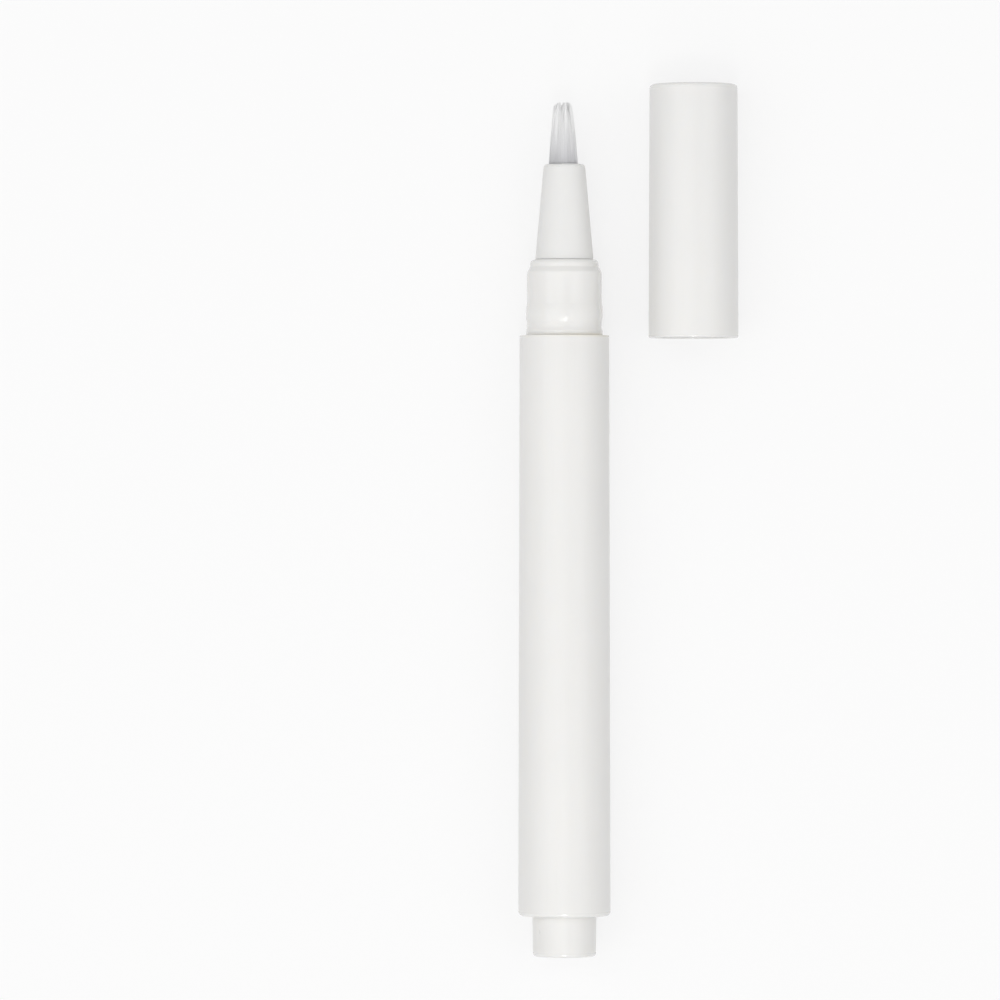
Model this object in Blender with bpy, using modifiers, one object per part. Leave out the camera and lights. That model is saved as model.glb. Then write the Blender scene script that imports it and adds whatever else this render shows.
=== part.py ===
"""Push-button cuticle oil pen lying on its side, with its cap taken off and lying beside it.

All lengths are in metres. Each piece is modelled round its own local Z axis, and an empty on the
pen's axis lays that axis along world +Y, the brush leading. Stations along the pen are counted
from the barrel's rear face.
"""

import math

import bmesh
import bpy
from mathutils import Matrix, Vector

# Fits shared by all pieces
GAP = 0.0003  # clearance between pieces that seat on, slide in or turn in each other
OVERRUN = 0.001  # how far a cutter stands past the surface that it cuts

# Barrel, which is also the tank
BARREL_LENGTH = 0.0972
TANK_BORE = 0.0124
BARREL_FRONT_WALL = 0.0013
BARREL_DRAFT = 0.000225  # gain of radius from its front to its rear
BARREL_EDGE_FILLET = 0.00015
BARREL_REAR_FILLET = 0.0004
END_WALL = 0.0015  # in-turned wall at the rear, which keeps the button in
END_LIP = 0.00055

# Push button
BUTTON_PROUD = 0.0068
BUTTON_DRAFT = 0.00005  # loss of radius from the barrel to the button's end
BUTTON_FILLET = 0.0005
BUTTON_END_WALL = 0.0015
BUTTON_FLANGE = 0.0010
SKIRT_STEP = 0.00075
SKIRT_WALL = 0.0008
SKIRT_LENGTH = 0.0055
PRESS_TRAVEL = 0.0024
LUG_COUNT = 3
LUG_WIDTH = 0.0016
LUG_LENGTH = 0.0018
LUG_HEIGHT = 0.0009
LUG_FROM_FLANGE = 0.0032

# Ratchet: crown on the button, teeth on both faces of the drive wheel, fixed detent ring
RATCHET_TEETH = 12
CROWN_TOOTH = 0.0012
DETENT_TOOTH = 0.0005
TOOTH_SHARES = (0.0, 0.5, 1.0)  # height of a saw tooth at its columns, before the sharp drop
WHEEL_DISC = 0.0018
SPRING_SEAT = 0.0004  # sunk in the wheel's rear face
STEM_WALL = 0.0009
STEM_FILLET = 0.0004
DETENT_RING = 0.0012
SLEEVE_FLANGE = 0.0012

# Return spring
SPRING_WIRE = 0.0005
SPRING_TURNS = 7
SPRING_POINTS = 9  # along each turn

# Screw drive
ROD_DIAMETER = 0.0034
ROD_FLAT_COUNT = 2
ROD_FLAT_DEPTH = 0.0005
ROD_CHAMFER = 0.00025
ROD_NECK_STEP = 0.0005
ROD_NECK = 0.0009
ROD_HEAD_STEP = 0.0002
ROD_HEAD = 0.0015
ROD_REAR_ROOM = 0.0099  # from the pressed button's floor to the screw
STEM_GRIP = 0.0016  # length of screw still inside the stem when the tank is empty
NUT_LENGTH = 0.0060
NUT_RECESS = 0.0020
NUT_GROOVE = 0.0020
NUT_GROOVE_DEPTH = 0.0009

# Piston
PISTON_LENGTH = 0.0067
PISTON_LIP = 0.0012
PISTON_WAIST = 0.0004  # depth of the waist between the lips
PISTON_NOSE_LENGTH = 0.0015
PISTON_NOSE_TAPER = 0.0006
PISTON_WALL = 0.0010

# Neck collar
SPIGOT_LENGTH = 0.0050
SPIGOT_WALL = 0.0013
SEAL_RINGS = 2
SEAL_RING_LENGTH = 0.0006
SEAL_RING_HEIGHT = 0.0002
NECK_LENGTH = 0.01075
NECK_FRONT_FILLET = 0.0006
FOOT_LENGTH = 0.0009
FOOT_STEP = 0.00015
GROOVE_LENGTH = 0.0010
BEAD_LENGTH = 0.0031
BEAD_STEP = 0.00019
BEAD_POINTS = 6
STEP_RING_LENGTH = 0.00165
STEP_RING_STEP = 0.00052
STEP_RING_FILLET = 0.0004
OUTLET_WEB = 0.0018
SOCKET_DEPTH = 0.0060

# Nose cone, the brush's holder
CONE_LENGTH = 0.0157
CONE_STEP = 0.00086  # from the step ring in to the cone's base
CONE_TIP_WALL = 0.000725
CONE_BASE_FILLET = 0.00015
CONE_TIP_FILLET = 0.0004
NOSE_SPIGOT_STEP = 0.0012
NOSE_SPIGOT_WALL = 0.0010
NOSE_CAVITY = 0.0100
NOSE_CAVITY_TAPER = 0.0020

# Feed tube
FEED_DIAMETER = 0.0016
FEED_WALL = 0.00035
FEED_PROUD = 0.0018  # past the nose cone's end, inside the tuft
FEED_IN_WEB = 0.0015

# Brush
TUFT_DIAMETER = 0.00485
TUFT_PROUD = 0.0107  # past the nose cone's end
TUFT_TIP_DIAMETER = 0.0035
TUFT_BLOCK = 0.0028
TUFT_RECESS = 0.0005
TUFT_EDGE = 0.0001  # resin round the inmost and outmost strands
STRAND_DIAMETER = 0.0001
STRAND_GAP = 0.000012
STRAND_ROOT = 0.0002  # sunk in the resin block
STRAND_SIDES = 3
STRANDS_PER_RING = 6  # more on each ring than on the one inside it
STRAND_TAPER_SHARE = 0.65
LOCKS = 5  # locks into which the tuft's tip gathers
LOCK_PULL_SHARE = 0.05
LOCK_NOTCH_SHARE = 0.05
DOME_SHARE = 0.10

# Cap
CAP_WALL = 0.00077
CAP_FLARE = 0.00003  # the mouth stands this much proud of the barrel's front
CAP_DRAFT = 0.00016  # loss of radius from the mouth to the closed end
CAP_END_WALL = 0.0012
CAP_END_FILLET = 0.0006
CAP_MOUTH_FILLET = 0.00015
CAP_SNAP_HEIGHT = 0.0002
CAP_SNAP_LENGTH = 0.0010
CAP_INNER_FILLET = 0.0004

# Cap liner
LINER_WALL = 0.0008
LINER_END_WALL = 0.0010
LINER_RIM = 0.0020
LINER_TAPER = 0.0008  # loss of radius along the bore
LINER_RIB_PAIRS = 3
LINER_RIB_WIDTH = 0.0008
TIP_ROOM = 0.0009  # between the tuft's tip and the liner's end when the cap is on

# Where the taken-off cap lies
AXIS_SPACING = 0.02164
CAP_SET_BACK = 0.0004  # its mouth behind the barrel's front face

# Facets
SEGMENTS = 48
RATCHET_SEGMENTS = RATCHET_TEETH * len(TOOTH_SHARES)
FINE_SEGMENTS = 24
TUBE_SEGMENTS = 16
FILLET_STEPS = 2
FILLET_EDGE_SHARE = 0.45  # most of an edge that one fillet may take
SMOOTH_ANGLE = math.radians(35)
MERGE = 0.000001

# Radii that mating pieces share
bore_radius = TANK_BORE / 2
fitted_radius = bore_radius - GAP
barrel_front_radius = bore_radius + BARREL_FRONT_WALL
barrel_rear_radius = barrel_front_radius + BARREL_DRAFT
button_hole_radius = bore_radius - END_LIP
button_radius = button_hole_radius - GAP
skirt_radius = button_radius - SKIRT_STEP
skirt_bore_radius = skirt_radius - SKIRT_WALL
sleeve_bore_radius = skirt_radius + GAP
rod_radius = ROD_DIAMETER / 2
rod_neck_radius = rod_radius - ROD_NECK_STEP
rod_head_radius = rod_radius + ROD_HEAD_STEP
rod_hole_radius = rod_radius + GAP
stem_radius = rod_hole_radius + STEM_WALL
stem_hole_radius = stem_radius + GAP
cap_mouth_radius = barrel_front_radius + CAP_FLARE
cap_end_radius = cap_mouth_radius - CAP_DRAFT
cap_bore_radius = cap_mouth_radius - CAP_WALL
bead_radius = cap_bore_radius - GAP
neck_radius = bead_radius - BEAD_STEP
step_ring_radius = neck_radius - STEP_RING_STEP
cone_base_radius = step_ring_radius - CONE_STEP
nose_spigot_radius = cone_base_radius - NOSE_SPIGOT_STEP
spigot_bore_radius = fitted_radius - SPIGOT_WALL
tuft_radius = TUFT_DIAMETER / 2
tuft_hole_radius = tuft_radius + GAP
cone_tip_radius = tuft_hole_radius + CONE_TIP_WALL
feed_radius = FEED_DIAMETER / 2
feed_hole_radius = feed_radius + GAP
inmost_strand = feed_hole_radius + TUFT_EDGE + STRAND_DIAMETER / 2
strand_band = tuft_radius - TUFT_EDGE - STRAND_DIAMETER / 2 - inmost_strand
liner_rim_radius = cap_bore_radius - GAP
liner_bore_radius = cone_base_radius + GAP

# Stations along the pen
flange_rear = END_WALL + GAP
flange_front = flange_rear + BUTTON_FLANGE
crown_root = flange_front + SKIRT_LENGTH
sleeve_rear = flange_front + PRESS_TRAVEL + GAP
lug_rear = flange_front + LUG_FROM_FLANGE
lug_front = lug_rear + LUG_LENGTH
wheel_rear = crown_root + PRESS_TRAVEL + GAP
wheel_seat = wheel_rear + CROWN_TOOTH + SPRING_SEAT
wheel_front = wheel_seat + WHEEL_DISC
detent_rear = wheel_front + GAP
detent_front = detent_rear + DETENT_TOOTH + DETENT_RING
sleeve_flange_rear = detent_front + GAP
sleeve_front = sleeve_flange_rear + SLEEVE_FLANGE
button_floor = BUTTON_END_WALL - BUTTON_PROUD
rod_rear = button_floor + PRESS_TRAVEL + ROD_REAR_ROOM
spigot_rear = BARREL_LENGTH - SPIGOT_LENGTH
drive_length = PISTON_LENGTH + NUT_LENGTH - NUT_RECESS + STEM_GRIP + 3 * GAP
piston_travel = (spigot_rear - drive_length - rod_rear) / 2
piston_front = spigot_rear - GAP - piston_travel
piston_rear = piston_front - PISTON_LENGTH
nut_front = piston_rear - GAP
nut_rear = nut_front - NUT_LENGTH
stem_front = nut_rear + NUT_RECESS - GAP
rod_front = piston_rear + ROD_NECK + ROD_HEAD
neck_foot = BARREL_LENGTH + GAP
neck_front = neck_foot + NECK_LENGTH
ring_front = neck_front + STEP_RING_LENGTH
socket_floor = ring_front - SOCKET_DEPTH
web_rear = socket_floor - OUTLET_WEB
cone_base = ring_front + GAP
cone_tip = cone_base + CONE_LENGTH
nose_rear = socket_floor + GAP
tuft_front = cone_tip - TUFT_RECESS
tuft_rear = tuft_front - TUFT_BLOCK
brush_tip = cone_tip + TUFT_PROUD

# Stations along the cap from its mouth, which seats on the collar's foot when the cap is on
liner_rear = neck_front + GAP - neck_foot
liner_step = ring_front + GAP - neck_foot
liner_floor = brush_tip + TIP_ROOM - neck_foot
liner_front = liner_floor + LINER_END_WALL
cap_inner_end = liner_front + GAP
cap_length = cap_inner_end + CAP_END_WALL

# Where the pen and the cap lie: the whole stands on z = 0, centred on the origin
cap_mouth = BARREL_LENGTH - CAP_SET_BACK
foremost = max(brush_tip, cap_mouth + cap_length)
pen_x = (barrel_rear_radius - AXIS_SPACING - cap_mouth_radius) / 2
pen_y = (BUTTON_PROUD - foremost) / 2


def clear_scene():
    for obj in list(bpy.data.objects):
        bpy.data.objects.remove(obj, do_unlink=True)


def add_collection(name):
    collection = bpy.data.collections.new(name)
    bpy.context.scene.collection.children.link(collection)
    return collection


def make_material(name, colour, roughness, metallic=0.0):
    material = bpy.data.materials.new(name)
    material.use_nodes = True
    shader = material.node_tree.nodes["Principled BSDF"]
    shader.inputs["Base Color"].default_value = (*colour, 1.0)
    shader.inputs["Roughness"].default_value = roughness
    shader.inputs["Metallic"].default_value = metallic
    material.diffuse_color = (*colour, 1.0)
    return material


def add_axis(name, location, parent=None):
    """An empty on an axis of the object. A child's local Z is its parent's."""
    axis = bpy.data.objects.new(name, None)
    axis.location = location
    axis.parent = parent
    axis.empty_display_size = TANK_BORE
    parts.objects.link(axis)
    return axis


def evaluated_mesh(obj):
    graph = bpy.context.evaluated_depsgraph_get()
    mesh = bpy.data.meshes.new_from_object(obj.evaluated_get(graph))
    bpy.data.objects.remove(obj, do_unlink=True)
    return mesh


def weld(mesh):
    sheet = bmesh.new()
    sheet.from_mesh(mesh)
    bmesh.ops.remove_doubles(sheet, verts=sheet.verts, dist=MERGE)
    sheet.to_mesh(mesh)
    sheet.free()


def add_part(name, mesh, material, axis, station=0.0):
    """A finished piece on an axis, shaded smooth but for its sharp edges."""
    mesh.name = name
    mesh.shade_smooth()
    mesh.set_sharp_from_angle(angle=SMOOTH_ANGLE)
    mesh.materials.clear()
    mesh.materials.append(material)
    part = bpy.data.objects.new(name, mesh)
    part.parent = axis
    part.location.z = station
    parts.objects.link(part)
    return part


def add_cutter(name, mesh, axis, station=0.0):
    cutter = bpy.data.objects.new(name, mesh)
    cutter.parent = axis
    cutter.location.z = station
    cutter.hide_render = True
    cutter.display_type = "WIRE"
    cutters.objects.link(cutter)
    return cutter


def join_or_cut(part, operation, other):
    boolean = part.modifiers.new(other.name, "BOOLEAN")
    boolean.operation = operation
    boolean.solver = "EXACT"
    boolean.object = other


def fillet_points(before, corner, after, radius):
    """The arc that replaces a corner, kept within its share of both edges."""
    inward = (before - corner).normalized()
    outward = (after - corner).normalized()
    half_angle = inward.angle(outward) / 2
    room = FILLET_EDGE_SHARE * min((before - corner).length, (after - corner).length)
    reach = min(radius / math.tan(half_angle), room)
    radius = reach * math.tan(half_angle)
    centre = corner + (inward + outward).normalized() * radius / math.sin(half_angle)
    start = corner + inward * reach - centre
    end = corner + outward * reach - centre
    sweep = start.angle_signed(end)
    points = []
    for step in range(FILLET_STEPS + 1):
        turn = Matrix.Rotation(-sweep * step / FILLET_STEPS, 2)
        points.append(centre + turn @ start)
    return points


def outline(corners):
    """Points of a profile from (radius, station) or (radius, station, fillet) corners."""
    points = []
    for index, corner in enumerate(corners):
        place = Vector(corner[:2])
        if len(corner) == 2:
            points.append(place)
            continue
        before = Vector(corners[index - 1][:2])
        after = Vector(corners[(index + 1) % len(corners)][:2])
        points.extend(fillet_points(before, place, after, corner[2]))
    return points


def turned(corners, segments=SEGMENTS):
    """The solid that a closed profile sweeps round Z. Corners on the axis close its ends."""
    points = outline(corners)
    area = sum(a.x * b.y - b.x * a.y for a, b in zip(points, points[1:] + points[:1]))
    if area > 0:
        points.reverse()
    edges = []
    for index, point in enumerate(points):
        following = (index + 1) % len(points)
        if point.x > 0 or points[following].x > 0:
            edges.append((index, following))
    profile = bpy.data.meshes.new("profile")
    profile.from_pydata([(point.x, 0, point.y) for point in points], edges, [])
    obj = bpy.data.objects.new("profile", profile)
    parts.objects.link(obj)
    screw = obj.modifiers.new("Turn", "SCREW")
    screw.steps = segments
    screw.render_steps = segments
    screw.use_merge_vertices = True
    screw.merge_threshold = MERGE
    mesh = evaluated_mesh(obj)
    weld(mesh)
    return mesh


def block(size_x, size_y, z_low, z_high):
    """A box centred on Z, between two heights."""
    sheet = bmesh.new()
    place = Matrix.Translation((0, 0, (z_low + z_high) / 2))
    scale = Matrix.Diagonal((size_x, size_y, z_high - z_low, 1))
    bmesh.ops.create_cube(sheet, size=1, matrix=place @ scale)
    mesh = bpy.data.meshes.new("block")
    sheet.to_mesh(mesh)
    sheet.free()
    return mesh


def ring_of_blocks(count, width, inner, outer, z_low, z_high):
    """Blocks spaced evenly round Z, each between two radii."""
    sheet = bmesh.new()
    scale = Matrix.Diagonal((outer - inner, width, z_high - z_low, 1))
    place = Matrix.Translation(((inner + outer) / 2, 0, (z_low + z_high) / 2))
    for index in range(count):
        turn = Matrix.Rotation(math.tau * index / count, 4, "Z")
        bmesh.ops.create_cube(sheet, size=1, matrix=turn @ place @ scale)
    mesh = bpy.data.meshes.new("blocks")
    sheet.to_mesh(mesh)
    sheet.free()
    return mesh


def cut_saw_teeth(mesh, face, height):
    """Raises a flat face's points into saw teeth along +Z, one column of points at a time."""
    columns = len(TOOTH_SHARES)
    for vertex in mesh.vertices:
        if abs(vertex.co.z - face) > MERGE:
            continue
        turn = math.atan2(vertex.co.y, vertex.co.x) / math.tau
        column = round(turn * RATCHET_TEETH * columns) % columns
        vertex.co.z += height * TOOTH_SHARES[column]


def make_barrel():
    profile = [
        (barrel_front_radius, BARREL_LENGTH, BARREL_EDGE_FILLET),
        (barrel_rear_radius, 0, BARREL_REAR_FILLET),
        (button_hole_radius, 0, BARREL_EDGE_FILLET),
        (button_hole_radius, END_WALL),
        (bore_radius, END_WALL),
        (bore_radius, BARREL_LENGTH, BARREL_EDGE_FILLET),
    ]
    add_part("barrel", turned(profile), white_plastic, pen_axis)


def make_button():
    """A hollow cup whose skirt ends in the crown of saw teeth."""
    end = -BUTTON_PROUD
    profile = [
        (0, end),
        (button_radius - BUTTON_DRAFT, end, BUTTON_FILLET),
        (button_radius, flange_rear),
        (fitted_radius, flange_rear),
        (fitted_radius, flange_front),
        (skirt_radius, flange_front),
        (skirt_radius, crown_root),
        (skirt_bore_radius, crown_root),
        (skirt_bore_radius, button_floor),
        (0, button_floor),
    ]
    mesh = turned(profile, RATCHET_SEGMENTS)
    cut_saw_teeth(mesh, crown_root, CROWN_TOOTH)
    button = add_part("button", mesh, white_plastic, button_axis)
    lug_root = skirt_radius - SKIRT_WALL / 2
    lug_tip = skirt_radius + LUG_HEIGHT
    lugs = ring_of_blocks(LUG_COUNT, LUG_WIDTH, lug_root, lug_tip, lug_rear, lug_front)
    join_or_cut(button, "UNION", add_cutter("button_lugs", lugs, button_axis))


def make_spring():
    """An open coil between the button's floor and the drive wheel."""
    wire_radius = SPRING_WIRE / 2
    coil_radius = skirt_bore_radius - GAP - wire_radius
    start = button_floor + GAP + wire_radius
    length = wheel_seat - GAP - wire_radius - start
    count = SPRING_TURNS * SPRING_POINTS + 1
    curve = bpy.data.curves.new("return_spring", "CURVE")
    curve.dimensions = "3D"
    curve.bevel_depth = wire_radius
    curve.bevel_resolution = 1
    curve.use_fill_caps = True
    spline = curve.splines.new("POLY")
    spline.points.add(count - 1)
    places = []
    for index in range(count):
        turn = math.tau * index / SPRING_POINTS
        height = start + length * index / (count - 1)
        places.append(Vector((coil_radius * math.cos(turn), coil_radius * math.sin(turn), height)))
        spline.points[index].co = (*places[index], 1)
    nearest = min(
        (a - b).length
        for index, a in enumerate(places)
        for b in places[index + SPRING_POINTS - 1 :]
    )
    print(f"return_spring: least gap between turns {nearest - SPRING_WIRE:.6f} m")
    coil = bpy.data.objects.new("coil", curve)
    parts.objects.link(coil)
    mesh = evaluated_mesh(coil)
    weld(mesh)
    add_part("return_spring", mesh, spring_steel, button_axis)


def keyed_hole(axis, z_low, z_high):
    """Cutter for a round hole with two flats, which the screw slides in but can't turn in."""
    hole = turned(
        [
            (0, z_low),
            (rod_hole_radius, z_low),
            (rod_hole_radius, z_high),
            (0, z_high),
        ],
        FINE_SEGMENTS,
    )
    cutter = add_cutter("keyed_hole", hole, axis)
    width = 2 * (rod_radius - ROD_FLAT_DEPTH + GAP)
    depth = 2 * (rod_hole_radius + OVERRUN)
    key = block(width, depth, z_low - OVERRUN, z_high + OVERRUN)
    join_or_cut(cutter, "INTERSECT", add_cutter("keyed_hole_flats", key, axis))
    return cutter


def make_drive_wheel():
    """A ratchet wheel, with crown teeth behind and detent teeth in front, on a keyed stem."""
    detent_root = wheel_front - DETENT_TOOTH
    profile = [
        (0, wheel_seat),
        (skirt_bore_radius - GAP, wheel_seat),
        (skirt_bore_radius - GAP, wheel_rear),
        (skirt_radius, wheel_rear),
        (skirt_radius, detent_root),
        (stem_hole_radius, detent_root),
        (stem_radius, detent_root - DETENT_TOOTH),
        (stem_radius, stem_front, STEM_FILLET),
        (0, stem_front),
    ]
    mesh = turned(profile, RATCHET_SEGMENTS)
    cut_saw_teeth(mesh, wheel_rear, CROWN_TOOTH)
    cut_saw_teeth(mesh, detent_root, DETENT_TOOTH)
    wheel = add_part("drive_wheel", mesh, acetal, drive_axis)
    hole = keyed_hole(drive_axis, wheel_rear - OVERRUN, stem_front + OVERRUN)
    join_or_cut(wheel, "DIFFERENCE", hole)


def make_detent_ring():
    profile = [
        (stem_hole_radius, detent_rear),
        (skirt_radius, detent_rear),
        (skirt_radius, detent_front),
        (stem_hole_radius, detent_front),
    ]
    mesh = turned(profile, RATCHET_SEGMENTS)
    cut_saw_teeth(mesh, detent_rear, DETENT_TOOTH)
    add_part("detent_ring", mesh, acetal, pen_axis)


def make_guide_sleeve():
    """A sleeve with an inner flange in front, slotted behind for the button's lugs."""
    profile = [
        (fitted_radius, sleeve_rear),
        (fitted_radius, sleeve_front),
        (stem_hole_radius, sleeve_front),
        (stem_hole_radius, sleeve_flange_rear),
        (sleeve_bore_radius, sleeve_flange_rear),
        (sleeve_bore_radius, sleeve_rear),
    ]
    mesh = turned(profile, RATCHET_SEGMENTS)
    sleeve = add_part("guide_sleeve", mesh, natural_plastic, pen_axis)
    slots = ring_of_blocks(
        LUG_COUNT,
        LUG_WIDTH + 2 * GAP,
        skirt_radius,
        fitted_radius + OVERRUN,
        sleeve_rear - OVERRUN,
        lug_front + PRESS_TRAVEL + GAP,
    )
    join_or_cut(sleeve, "DIFFERENCE", add_cutter("lug_slots", slots, pen_axis))


def make_rod_nut():
    """The fixed nut. Its rear recess is the stem's front bearing."""
    groove_low = (nut_rear + nut_front - NUT_GROOVE) / 2
    groove_high = groove_low + NUT_GROOVE
    groove_radius = fitted_radius - NUT_GROOVE_DEPTH
    profile = [
        (stem_hole_radius, nut_rear),
        (fitted_radius, nut_rear),
        (fitted_radius, groove_low),
        (groove_radius, groove_low),
        (groove_radius, groove_high),
        (fitted_radius, groove_high),
        (fitted_radius, nut_front),
        (rod_hole_radius, nut_front),
        (rod_hole_radius, nut_rear + NUT_RECESS),
        (stem_hole_radius, nut_rear + NUT_RECESS),
    ]
    add_part("rod_nut", turned(profile, FINE_SEGMENTS), natural_plastic, pen_axis)


def make_push_rod():
    """The screw: a shank with two flats, and in front a neck and head for the piston."""
    head_rear = rod_front - ROD_HEAD
    neck_rear = head_rear - ROD_NECK
    profile = [
        (0, rod_rear),
        (rod_radius - ROD_CHAMFER, rod_rear),
        (rod_radius, rod_rear + ROD_CHAMFER),
        (rod_radius, neck_rear),
        (rod_neck_radius, neck_rear),
        (rod_neck_radius, head_rear),
        (rod_head_radius, head_rear),
        (rod_head_radius, rod_front, ROD_CHAMFER),
        (0, rod_front),
    ]
    rod = add_part("push_rod", turned(profile, FINE_SEGMENTS), acetal, rod_axis)
    flats = ring_of_blocks(
        ROD_FLAT_COUNT,
        ROD_DIAMETER + OVERRUN,
        rod_radius - ROD_FLAT_DEPTH,
        rod_radius + OVERRUN,
        rod_rear - OVERRUN,
        neck_rear - ROD_NECK,
    )
    join_or_cut(rod, "DIFFERENCE", add_cutter("rod_flats", flats, rod_axis))


def make_piston():
    """A cup with a sealing lip at each end and a snap socket for the screw's head."""
    waist_radius = fitted_radius - PISTON_WAIST
    nose_radius = spigot_bore_radius - GAP
    skirt_inner = waist_radius - PISTON_WALL
    socket_mouth = rod_neck_radius + GAP
    socket_radius = rod_head_radius + GAP
    hub_radius = socket_radius + PISTON_WALL
    head_room_rear = rod_front - ROD_HEAD - GAP
    head_room_front = rod_front + GAP
    profile = [
        (0, piston_front + PISTON_NOSE_LENGTH),
        (nose_radius - PISTON_NOSE_TAPER, piston_front + PISTON_NOSE_LENGTH),
        (nose_radius, piston_front),
        (fitted_radius, piston_front),
        (fitted_radius, piston_front - PISTON_LIP),
        (waist_radius, piston_front - PISTON_LIP - PISTON_WAIST),
        (waist_radius, piston_rear + PISTON_LIP + PISTON_WAIST),
        (fitted_radius, piston_rear + PISTON_LIP),
        (fitted_radius, piston_rear),
        (skirt_inner, piston_rear),
        (skirt_inner, head_room_front),
        (hub_radius, head_room_front),
        (hub_radius, piston_rear),
        (socket_mouth, piston_rear),
        (socket_mouth, head_room_rear),
        (socket_radius, head_room_rear),
        (socket_radius, head_room_front),
        (0, head_room_front),
    ]
    add_part("piston", turned(profile, FINE_SEGMENTS), soft_plastic, piston_axis)


def bead_points(low, high):
    """The snap bead's bulge over the neck, from its front to its rear."""
    points = []
    for step in range(1, BEAD_POINTS):
        share = step / BEAD_POINTS
        bulge = math.sin(math.pi * share) * BEAD_STEP
        points.append((neck_radius + bulge, high + (low - high) * share))
    return points


def seal_ring_corners():
    """The raised rings that seal the spigot in the barrel, from the foot to the spigot's end."""
    spigot_radius = fitted_radius - SEAL_RING_HEIGHT
    pitch = SPIGOT_LENGTH / (SEAL_RINGS + 1)
    corners = [(spigot_radius, neck_foot)]
    for index in range(1, SEAL_RINGS + 1):
        front = BARREL_LENGTH - pitch * index + SEAL_RING_LENGTH / 2
        rear = front - SEAL_RING_LENGTH
        corners.append((spigot_radius, front + SEAL_RING_HEIGHT))
        corners.append((fitted_radius, front))
        corners.append((fitted_radius, rear))
        corners.append((spigot_radius, rear - SEAL_RING_HEIGHT))
    corners.append((spigot_radius, spigot_rear, BARREL_EDGE_FILLET))
    return corners


def make_neck_collar():
    """Spigot, foot, snap bead, neck and step ring in one moulding, with the outlet web inside."""
    foot_radius = neck_radius + FOOT_STEP
    socket_radius = nose_spigot_radius + GAP
    bead_low = neck_foot + FOOT_LENGTH + GROOVE_LENGTH
    bead_high = bead_low + BEAD_LENGTH
    profile = [
        (step_ring_radius, ring_front, STEP_RING_FILLET),
        (step_ring_radius, neck_front),
        (neck_radius, neck_front, NECK_FRONT_FILLET),
        (neck_radius, bead_high),
        *bead_points(bead_low, bead_high),
        (neck_radius, bead_low),
        (neck_radius, neck_foot + FOOT_LENGTH),
        (foot_radius, neck_foot + FOOT_LENGTH / 2),
        (foot_radius, neck_foot),
        *seal_ring_corners(),
        (spigot_bore_radius, spigot_rear),
        (spigot_bore_radius, web_rear - OUTLET_WEB),
        (feed_hole_radius, web_rear),
        (feed_hole_radius, socket_floor),
        (socket_radius, socket_floor),
        (socket_radius, ring_front),
    ]
    add_part("neck_collar", turned(profile), white_plastic, pen_axis)


def make_nose_cone():
    """The hollow cone. Its front bore holds the tuft's block, and its channel the feed tube."""
    cavity_radius = nose_spigot_radius - NOSE_SPIGOT_WALL
    cavity_front = nose_rear + NOSE_CAVITY
    profile = [
        (cone_tip_radius, cone_tip, CONE_TIP_FILLET),
        (cone_base_radius, cone_base, CONE_BASE_FILLET),
        (nose_spigot_radius, cone_base),
        (nose_spigot_radius, nose_rear),
        (cavity_radius, nose_rear),
        (cavity_radius, cavity_front),
        (feed_hole_radius, cavity_front + NOSE_CAVITY_TAPER),
        (feed_hole_radius, tuft_rear - GAP),
        (tuft_hole_radius, tuft_rear - GAP),
        (tuft_hole_radius, cone_tip),
    ]
    add_part("nose_cone", turned(profile), matte_plastic, pen_axis)


def make_feed_tube():
    bore = feed_radius - FEED_WALL
    rear = socket_floor - FEED_IN_WEB
    front = cone_tip + FEED_PROUD
    profile = [(feed_radius, rear), (feed_radius, front), (bore, front), (bore, rear)]
    add_part("feed_tube", turned(profile, TUBE_SEGMENTS), natural_plastic, pen_axis)


def strand_ends(ring, rings, index):
    """Root and tip of one strand. Rings keep their order, so that no two strands cross."""
    count = STRANDS_PER_RING * ring
    root_radius = inmost_strand + strand_band * (ring - 1) / (rings - 1)
    ring_share = ring / rings
    tip_radius = TUFT_TIP_DIAMETER / 2 * ring_share
    angle = math.tau * (index + ring / 2) / count
    lean = LOCK_PULL_SHARE * ring_share * math.sin(LOCKS * angle)
    notch = LOCK_NOTCH_SHARE * ring_share * (1 + math.cos(LOCKS * angle)) / 2
    length = (brush_tip - tuft_front) * (1 - DOME_SHARE * ring_share**2 - notch)
    root = Vector((root_radius * math.cos(angle), root_radius * math.sin(angle), tuft_front))
    leaned = angle + lean
    tip = Vector((tip_radius * math.cos(leaned), tip_radius * math.sin(leaned), tuft_front))
    tip.z += length
    return root, tip


def add_strand(sheet, root, tip):
    """A tapering strand, whose foot is sunk in the block."""
    along = (tip - root).normalized()
    foot = root - along * STRAND_ROOT
    turn = along.to_track_quat("Z", "Y").to_matrix().to_4x4()
    place = Matrix.Translation((foot + tip) / 2) @ turn
    bmesh.ops.create_cone(
        sheet,
        cap_ends=True,
        segments=STRAND_SIDES,
        radius1=STRAND_DIAMETER / 2,
        radius2=STRAND_DIAMETER / 2 * STRAND_TAPER_SHARE,
        depth=(tip - foot).length,
        matrix=place,
    )


def make_brush():
    """The tuft: single strands bonded into a ring-shaped block round the feed tube."""
    profile = [
        (tuft_radius, tuft_rear),
        (tuft_radius, tuft_front),
        (feed_hole_radius, tuft_front),
        (feed_hole_radius, tuft_rear),
    ]
    brush = add_part("brush", turned(profile, FINE_SEGMENTS), bristle_nylon, pen_axis)
    sheet = bmesh.new()
    rings = int(strand_band / (STRAND_DIAMETER + STRAND_GAP)) + 1
    for ring in range(1, rings + 1):
        for index in range(STRANDS_PER_RING * ring):
            add_strand(sheet, *strand_ends(ring, rings, index))
    strands = bpy.data.meshes.new("strands")
    sheet.to_mesh(strands)
    sheet.free()
    join_or_cut(brush, "UNION", add_cutter("strands", strands, pen_axis))


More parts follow.
